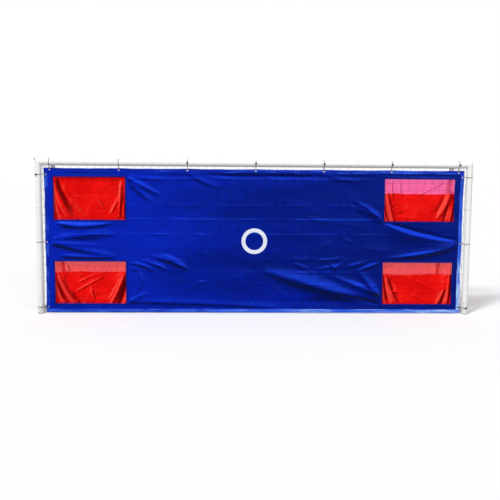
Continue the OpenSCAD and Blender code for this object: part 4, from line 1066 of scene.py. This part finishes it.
for name, (sign, *_) in OPENINGS.items():
    hinge = HINGES[name.split("_")[0]]
    middle = sign * (OPEN_X0 + OPEN_X1) / 2
    u, v = np.meshgrid(np.linspace(-1, 1, 161), np.linspace(0, 1, 105))
    turned = np.minimum(FLAP_W / 2 * (1 - np.abs(u)), FLAP_H * (1 - v)) < FLAP_HEM
    half = np.where(turned, TURNED_HALF_T, THIN_HALF_T) * np.where(v < 0.01, 0.5, 1)
    obj = shell(f"{name}_red_cloth", middle + u * FLAP_W / 2,
                MOUTH + flap_depth(u, v, FLAP_CRESTS[name]), hinge - v * FLAP_H, half,
                flap_reds[name])
    edge = FLAP_W / 2 - SEAM_IN
    foot = -FLAP_H + SEAM_IN
    thread_rows = []
    for y in (-SEAM_Y, SEAM_Y):
        thread_rows += [((-edge, foot), (edge, foot), y), ((-edge, foot), (-edge, -SEAM_TOP), y),
                        ((edge, foot), (edge, -SEAM_TOP), y)]
    seam = stitched(f"{name}_seam", thread_rows, flap_point(name, sign, hinge), red_thread)
    smooth(obj, 60)
    for o in (obj, seam):
        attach(o, f"{name}_flap")
    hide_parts(f"{name}_flap")
    print(obj.name, len(obj.data.polygons), "faces")

# %% [markdown]
# ## Bungee cords
# A bungee is an elastic cord in a braided cover. It passes through the eyelet and round the
# tube, and a ball holds both ends. The loop's route lies in one plane, so it is worked out as a
# flat curve: straight runs from the eyelet that meet an arc round the tube. A tube mesh with its
# own UV map lets the braid run along the cord.

# %% Braid
braid, tree, shader, spot = material("bungee_braid", Specular_IOR_Level=0.3, Roughness=0.55)
uv = add(tree, "UVMap", uv_map="cloth").outputs[0]
strands = [add(tree, "TexWave", {"Vector": add(tree, "Mapping", {
    "Vector": uv, "Rotation": (0, 0, math.radians(a))}).outputs[0], "Scale": 95.0},
    wave_type="BANDS").outputs["Fac"] for a in (38, -38)]
over = sums(tree, "MAXIMUM", *strands)
fleck = grade(tree, sums(tree, "MULTIPLY", *strands), 0.72, 0.92)
dusty = grade(tree, speckle(tree, spot, 45, 4), 0.35, 0.7)
black = tint(tree, dusty, (0.004, 0.004, 0.005), (0.016, 0.015, 0.018))
feed(tree, shader, Base_Color=tint(tree, fleck, black, (0.060, 0.055, 0.075)))
bump(tree, shader, over, 0.0004)

# %% Cord loops
CORD_R, TUBE_R, SEAT, TURN = 0.00275, 0.045, 0.00385, 0.0055
CORD_GAP, MERGE = 0.0006, 0.00002


def loop_route(drop, step=4):
    """Points (y, z) of a loop, from behind the eyelet through it and round the tube."""
    arc = TUBE_R + CORD_R + CORD_GAP
    a = math.degrees(math.acos(arc / drop))
    n = int((360 - 2 * a) / step)
    hole = [(TURN, SEAT), (TURN / 2, SEAT - 0.0006), (0, SEAT - 0.0008), (-TURN / 2, SEAT - 0.0006),
            (-TURN, SEAT)]
    out = TURN + CORD_R
    lift = [(-TURN * 1.25, SEAT + 0.0009), (-out, SEAT + CORD_R)]
    ring = []
    for i in range(n + 1):
        t = math.radians(a + (360 - 2 * a) * i / n)
        ring.append((-arc * math.sin(t), drop - arc * math.cos(t)))
    start, end = Vector(lift[-1]), Vector(ring[0])
    run = [tuple(start.lerp(end, t)) for t in (0.25, 0.5, 0.75)]
    mirror = [(-y, z) for y, z in reversed(lift + run)]
    return hole + lift + run + ring + mirror


def tube(name, route, radius, sides=12, closed=True, finish=braid):
    """A tube along a route, with U round it and V along it in metres."""
    route = [Vector(p) for p in route]
    n = len(route)
    points, uv, gone = [], [], 0.0
    wide_before = None
    for k, p in enumerate(route):
        before = route[k - 1] if closed or k else p
        after = route[(k + 1) % n] if closed or k < n - 1 else p
        t = (after - before).normalized()
        if wide_before is None:
            wide_before = t.orthogonal().normalized()
        wide = (wide_before - t * wide_before.dot(t)).normalized()
        high = t.cross(wide)
        wide_before = wide
        if k:
            gone += (p - route[k - 1]).length
        for s in range(sides + 1):
            a = 2 * math.pi * s / sides
            points.append(p + radius * (math.cos(a) * wide + math.sin(a) * high))
            uv.append((a * radius, gone))
    row = sides + 1
    spans = n if closed else n - 1
    faces = [(k * row + s, k * row + s + 1, (k + 1) % n * row + s + 1, (k + 1) % n * row + s)
             for k in range(spans) for s in range(sides)]
    if not closed:
        faces += [tuple(reversed(range(sides))), tuple((n - 1) * row + s for s in range(sides))]
    return faces_outwards(piece(name, points, faces, finish, uv), MERGE)


def eyelet_loop(name, place_at, turn, drop):
    """A loop at an eyelet. turn is 0 for the top, 90 for the right side and -90 for the left."""
    c, s = math.cos(math.radians(turn)), math.sin(math.radians(turn))
    x, z = place_at
    return tube(name, [(x + s * v, MOUTH + u, z + c * v) for u, v in loop_route(drop)], CORD_R)


TOP_DROP, SIDE_DROP = 0.105, 0.100
loops = [eyelet_loop(f"top_{i}", at, 0, TOP_DROP) for i, at in enumerate(TOP_EYELETS)]
TAIL_Y, TAIL_Z = -0.7237, 2.1829
TAIL_X0, TAIL_X1 = -3.0965, TOP_EYELETS[0][0] - 0.003
loops.append(tube("tail", [(x, TAIL_Y, TAIL_Z) for x in np.linspace(TAIL_X0, TAIL_X1, 30)],
                  CORD_R, closed=False))
sides = {
    side: [eyelet_loop(f"{side}_{i}", at, turn, SIDE_DROP) for i, at in enumerate(eyelets)]
    for side, turn, eyelets in (("left", -90, LEFT_EYELETS), ("right", 90, RIGHT_EYELETS))
}
for name, parts in (("top", loops), *sides.items()):
    obj = joined(f"{name}_braided_cords", parts)
    smooth(obj, 60)
    on_goal(obj, "bungee_cord", f"{name}_bungees")

# %% [markdown]
# ## Nets
# A goal net is knotted cord in squares of about 12 cm. It could be made from curves, but a grid
# with the Wireframe modifier gives all its strands in one step. The grid is pulled into shape
# first: it hangs from its border and sags in between. Small round knots sit on the crossings, and
# a thicker cord runs round the border.

# %% Net cord
net_painted_grey, tree, shader, spot = material("net_cord", Roughness=0.6, Specular_IOR_Level=0.3)
soil = grade(tree, speckle(tree, spot, 6, 6), 0.35, 0.75)
# The cord's grey is painted shade on a white net, which shows dark against the light; the soil
# patches on it are dirt.
feed(tree, shader, Base_Color=tint(tree, soil, (0.46, 0.47, 0.46), (0.34, 0.34, 0.32)))
bump(tree, shader, speckle(tree, spot, 900, 3), 0.0006)

CORD, BORDER, KNOT = 0.0050, 0.0045, 0.0055


def net(name, corners, cells, sag, node):
    """A net between four corners (a at (0, 0), b along s, c opposite, d along t). sag is how far
    its middle hangs, as a vector."""
    a, b, c, d = (Vector(p) for p in corners)
    bpy.ops.object.select_all(action="DESELECT")
    bpy.ops.mesh.primitive_grid_add(x_subdivisions=cells[0], y_subdivisions=cells[1], size=2)
    obj = bpy.context.active_object
    obj.name = obj.data.name = name
    for vert in obj.data.vertices:
        s, t = (vert.co.x + 1) / 2, (vert.co.y + 1) / 2
        flat_spot = (a * (1 - s) + b * s) * (1 - t) + (d * (1 - s) + c * s) * t
        deep = (4 * s * (1 - s)) ** 0.6 * (4 * t * (1 - t)) ** 0.8
        loose = noise.noise(flat_spot * 2.3) * 0.18 * deep
        vert.co = flat_spot + Vector(sag) * (deep + loose)
    knots = [v.co.copy() for v in obj.data.vertices]
    grid = np.arange(len(knots)).reshape(cells[1] + 1, cells[0] + 1)
    rim = np.concatenate((grid[0, :-1], grid[:-1, -1], grid[-1, :0:-1], grid[:0:-1, 0]))
    border = [knots[i] for i in rim]
    wire = obj.modifiers.new("strands", "WIREFRAME")
    wire.thickness = CORD
    wire.use_even_offset = False
    wire.use_boundary = True
    apply_modifiers(obj)
    obj.data.materials.append(net_painted_grey)
    bpy.ops.object.select_all(action="DESELECT")
    bpy.ops.mesh.primitive_ico_sphere_add(subdivisions=1, radius=KNOT)
    ball = bpy.context.active_object
    shape = [v.co.copy() for v in ball.data.vertices]
    tris = [tuple(f.vertices) for f in ball.data.polygons]
    bpy.data.objects.remove(ball)
    points, faces = [], []
    for k in knots:
        faces += [tuple(i + len(points) for i in f) for f in tris]
        points += [k + s for s in shape]
    knotted = piece(f"{name}_knots", points, faces, net_painted_grey)
    rope = tube(f"{name}_border", border, BORDER, sides=8, finish=net_painted_grey)
    whole = joined(name, [obj, knotted, rope])
    smooth(whole, 60)
    return on_goal(whole, "net_cord", node)


NET_X, NET_FRONT, NET_TOP, ROOF_REAR = 3.010, -0.698, 2.145, 0.011
# The back net lies along the leaning stays, and ends a little before each of their ends
STAY_LENGTH, STAY_END = 2.222, 0.035
lean = math.radians(18.36)
foot = Vector((0, 0.7467, 0.036))
rise = Vector((0, -math.sin(lean), math.cos(lean)))
low_edge, high_edge = foot + rise * STAY_END, foot + rise * (STAY_LENGTH - STAY_END)
net("roof_mesh", [(-NET_X, NET_FRONT, NET_TOP), (NET_X, NET_FRONT, NET_TOP),
                  (NET_X, ROOF_REAR, NET_TOP), (-NET_X, ROOF_REAR, NET_TOP)], (50, 6),
    (0, 0, -0.030), "roof_net")
net("back_mesh", [(-NET_X, *low_edge.yz), (NET_X, *low_edge.yz), (NET_X, *high_edge.yz),
                  (-NET_X, *high_edge.yz)], (50, 18), (0, -0.045, -0.02), "back_net")
# A side net's corners as (y, z): front foot, rear foot, rear top and front top
SIDE_NET_X = 3.045
SIDE_CORNERS = [(NET_FRONT, 0.071), (0.6975, 0.071), (0.0215, 2.110), (NET_FRONT, 2.110)]
for side, sign in (("left", -1), ("right", 1)):
    net(f"{side}_mesh", [(sign * SIDE_NET_X, y, z) for y, z in SIDE_CORNERS], (10, 17),
        (-sign * 0.012, 0, 0), f"{side}_net")

# %% [markdown]
# ## Floor and light
# A plain pale floor carries the shadow. The background is white because rays from the camera,
# and rays that mirror or pass through, see a white world, while the light on the object stays
# soft and at a plain level. Two soft lamps shine from the front: a strong one from the upper left
# brings out the folds, and a weak, wide one from the right fills the shadows.

# %% Floor
def seen_directly(tree):
    """1 for rays from the camera and rays that mirror or pass through, 0 for all others."""
    path = add(tree, "LightPath")
    return sums(tree, "MAXIMUM", path.outputs["Is Camera Ray"], sums(
        tree, "MAXIMUM", path.outputs["Is Glossy Ray"], path.outputs["Is Transmission Ray"]))


bpy.ops.object.select_all(action="DESELECT")
bpy.ops.mesh.primitive_plane_add(size=400, location=(0, 0, 0))
floor = bpy.context.active_object
floor.name = "floor"
floor_white = bpy.data.materials.new("floor_white")
floor_white.use_nodes = True
tree = floor_white.node_tree
tree.nodes.remove(tree.nodes["Principled BSDF"])
matt = add(tree, "BsdfDiffuse", {"Color": (0.42, 0.42, 0.42, 1)})
white = add(tree, "BsdfDiffuse", {"Color": (0.80, 0.80, 0.80, 1)})
lift = add(tree, "Emission", {"Color": (1, 1, 1, 1), "Strength": 0.25})
pale = add(tree, "AddShader", {0: white.outputs[0], 1: lift.outputs[0]})
both = add(tree, "MixShader", {0: seen_directly(tree), 1: matt.outputs[0], 2: pale.outputs[0]})
tree.links.new(both.outputs[0], tree.nodes["Material Output"].inputs["Surface"])
floor.data.materials.append(floor_white)

# %% World and lamps
world = bpy.data.worlds.new("studio")
bpy.context.scene.world = world
world.use_nodes = True
tree = world.node_tree
back = tree.nodes["Background"]
back.inputs["Color"].default_value = (1, 1, 1, 1)
tree.links.new(grade(tree, seen_directly(tree), 0, 1, 0.36, 1.0), back.inputs["Strength"])


def lamp(name, shines, power, spread):
    """A soft lamp far away that shines along a direction."""
    data = bpy.data.lights.new(name, "SUN")
    data.energy, data.angle = power, math.radians(spread)
    obj = bpy.data.objects.new(name, data)
    bpy.context.scene.collection.objects.link(obj)
    obj.matrix_world = Vector(shines).to_track_quat("-Z", "Y").to_matrix().to_4x4()
    return obj


lamp("key", (0.48, 0.62, -0.80), 2.2, 10)
lamp("fill", (-0.30, 0.95, -0.30), 0.80, 30)
bpy.context.scene.view_settings.view_transform = "Standard"
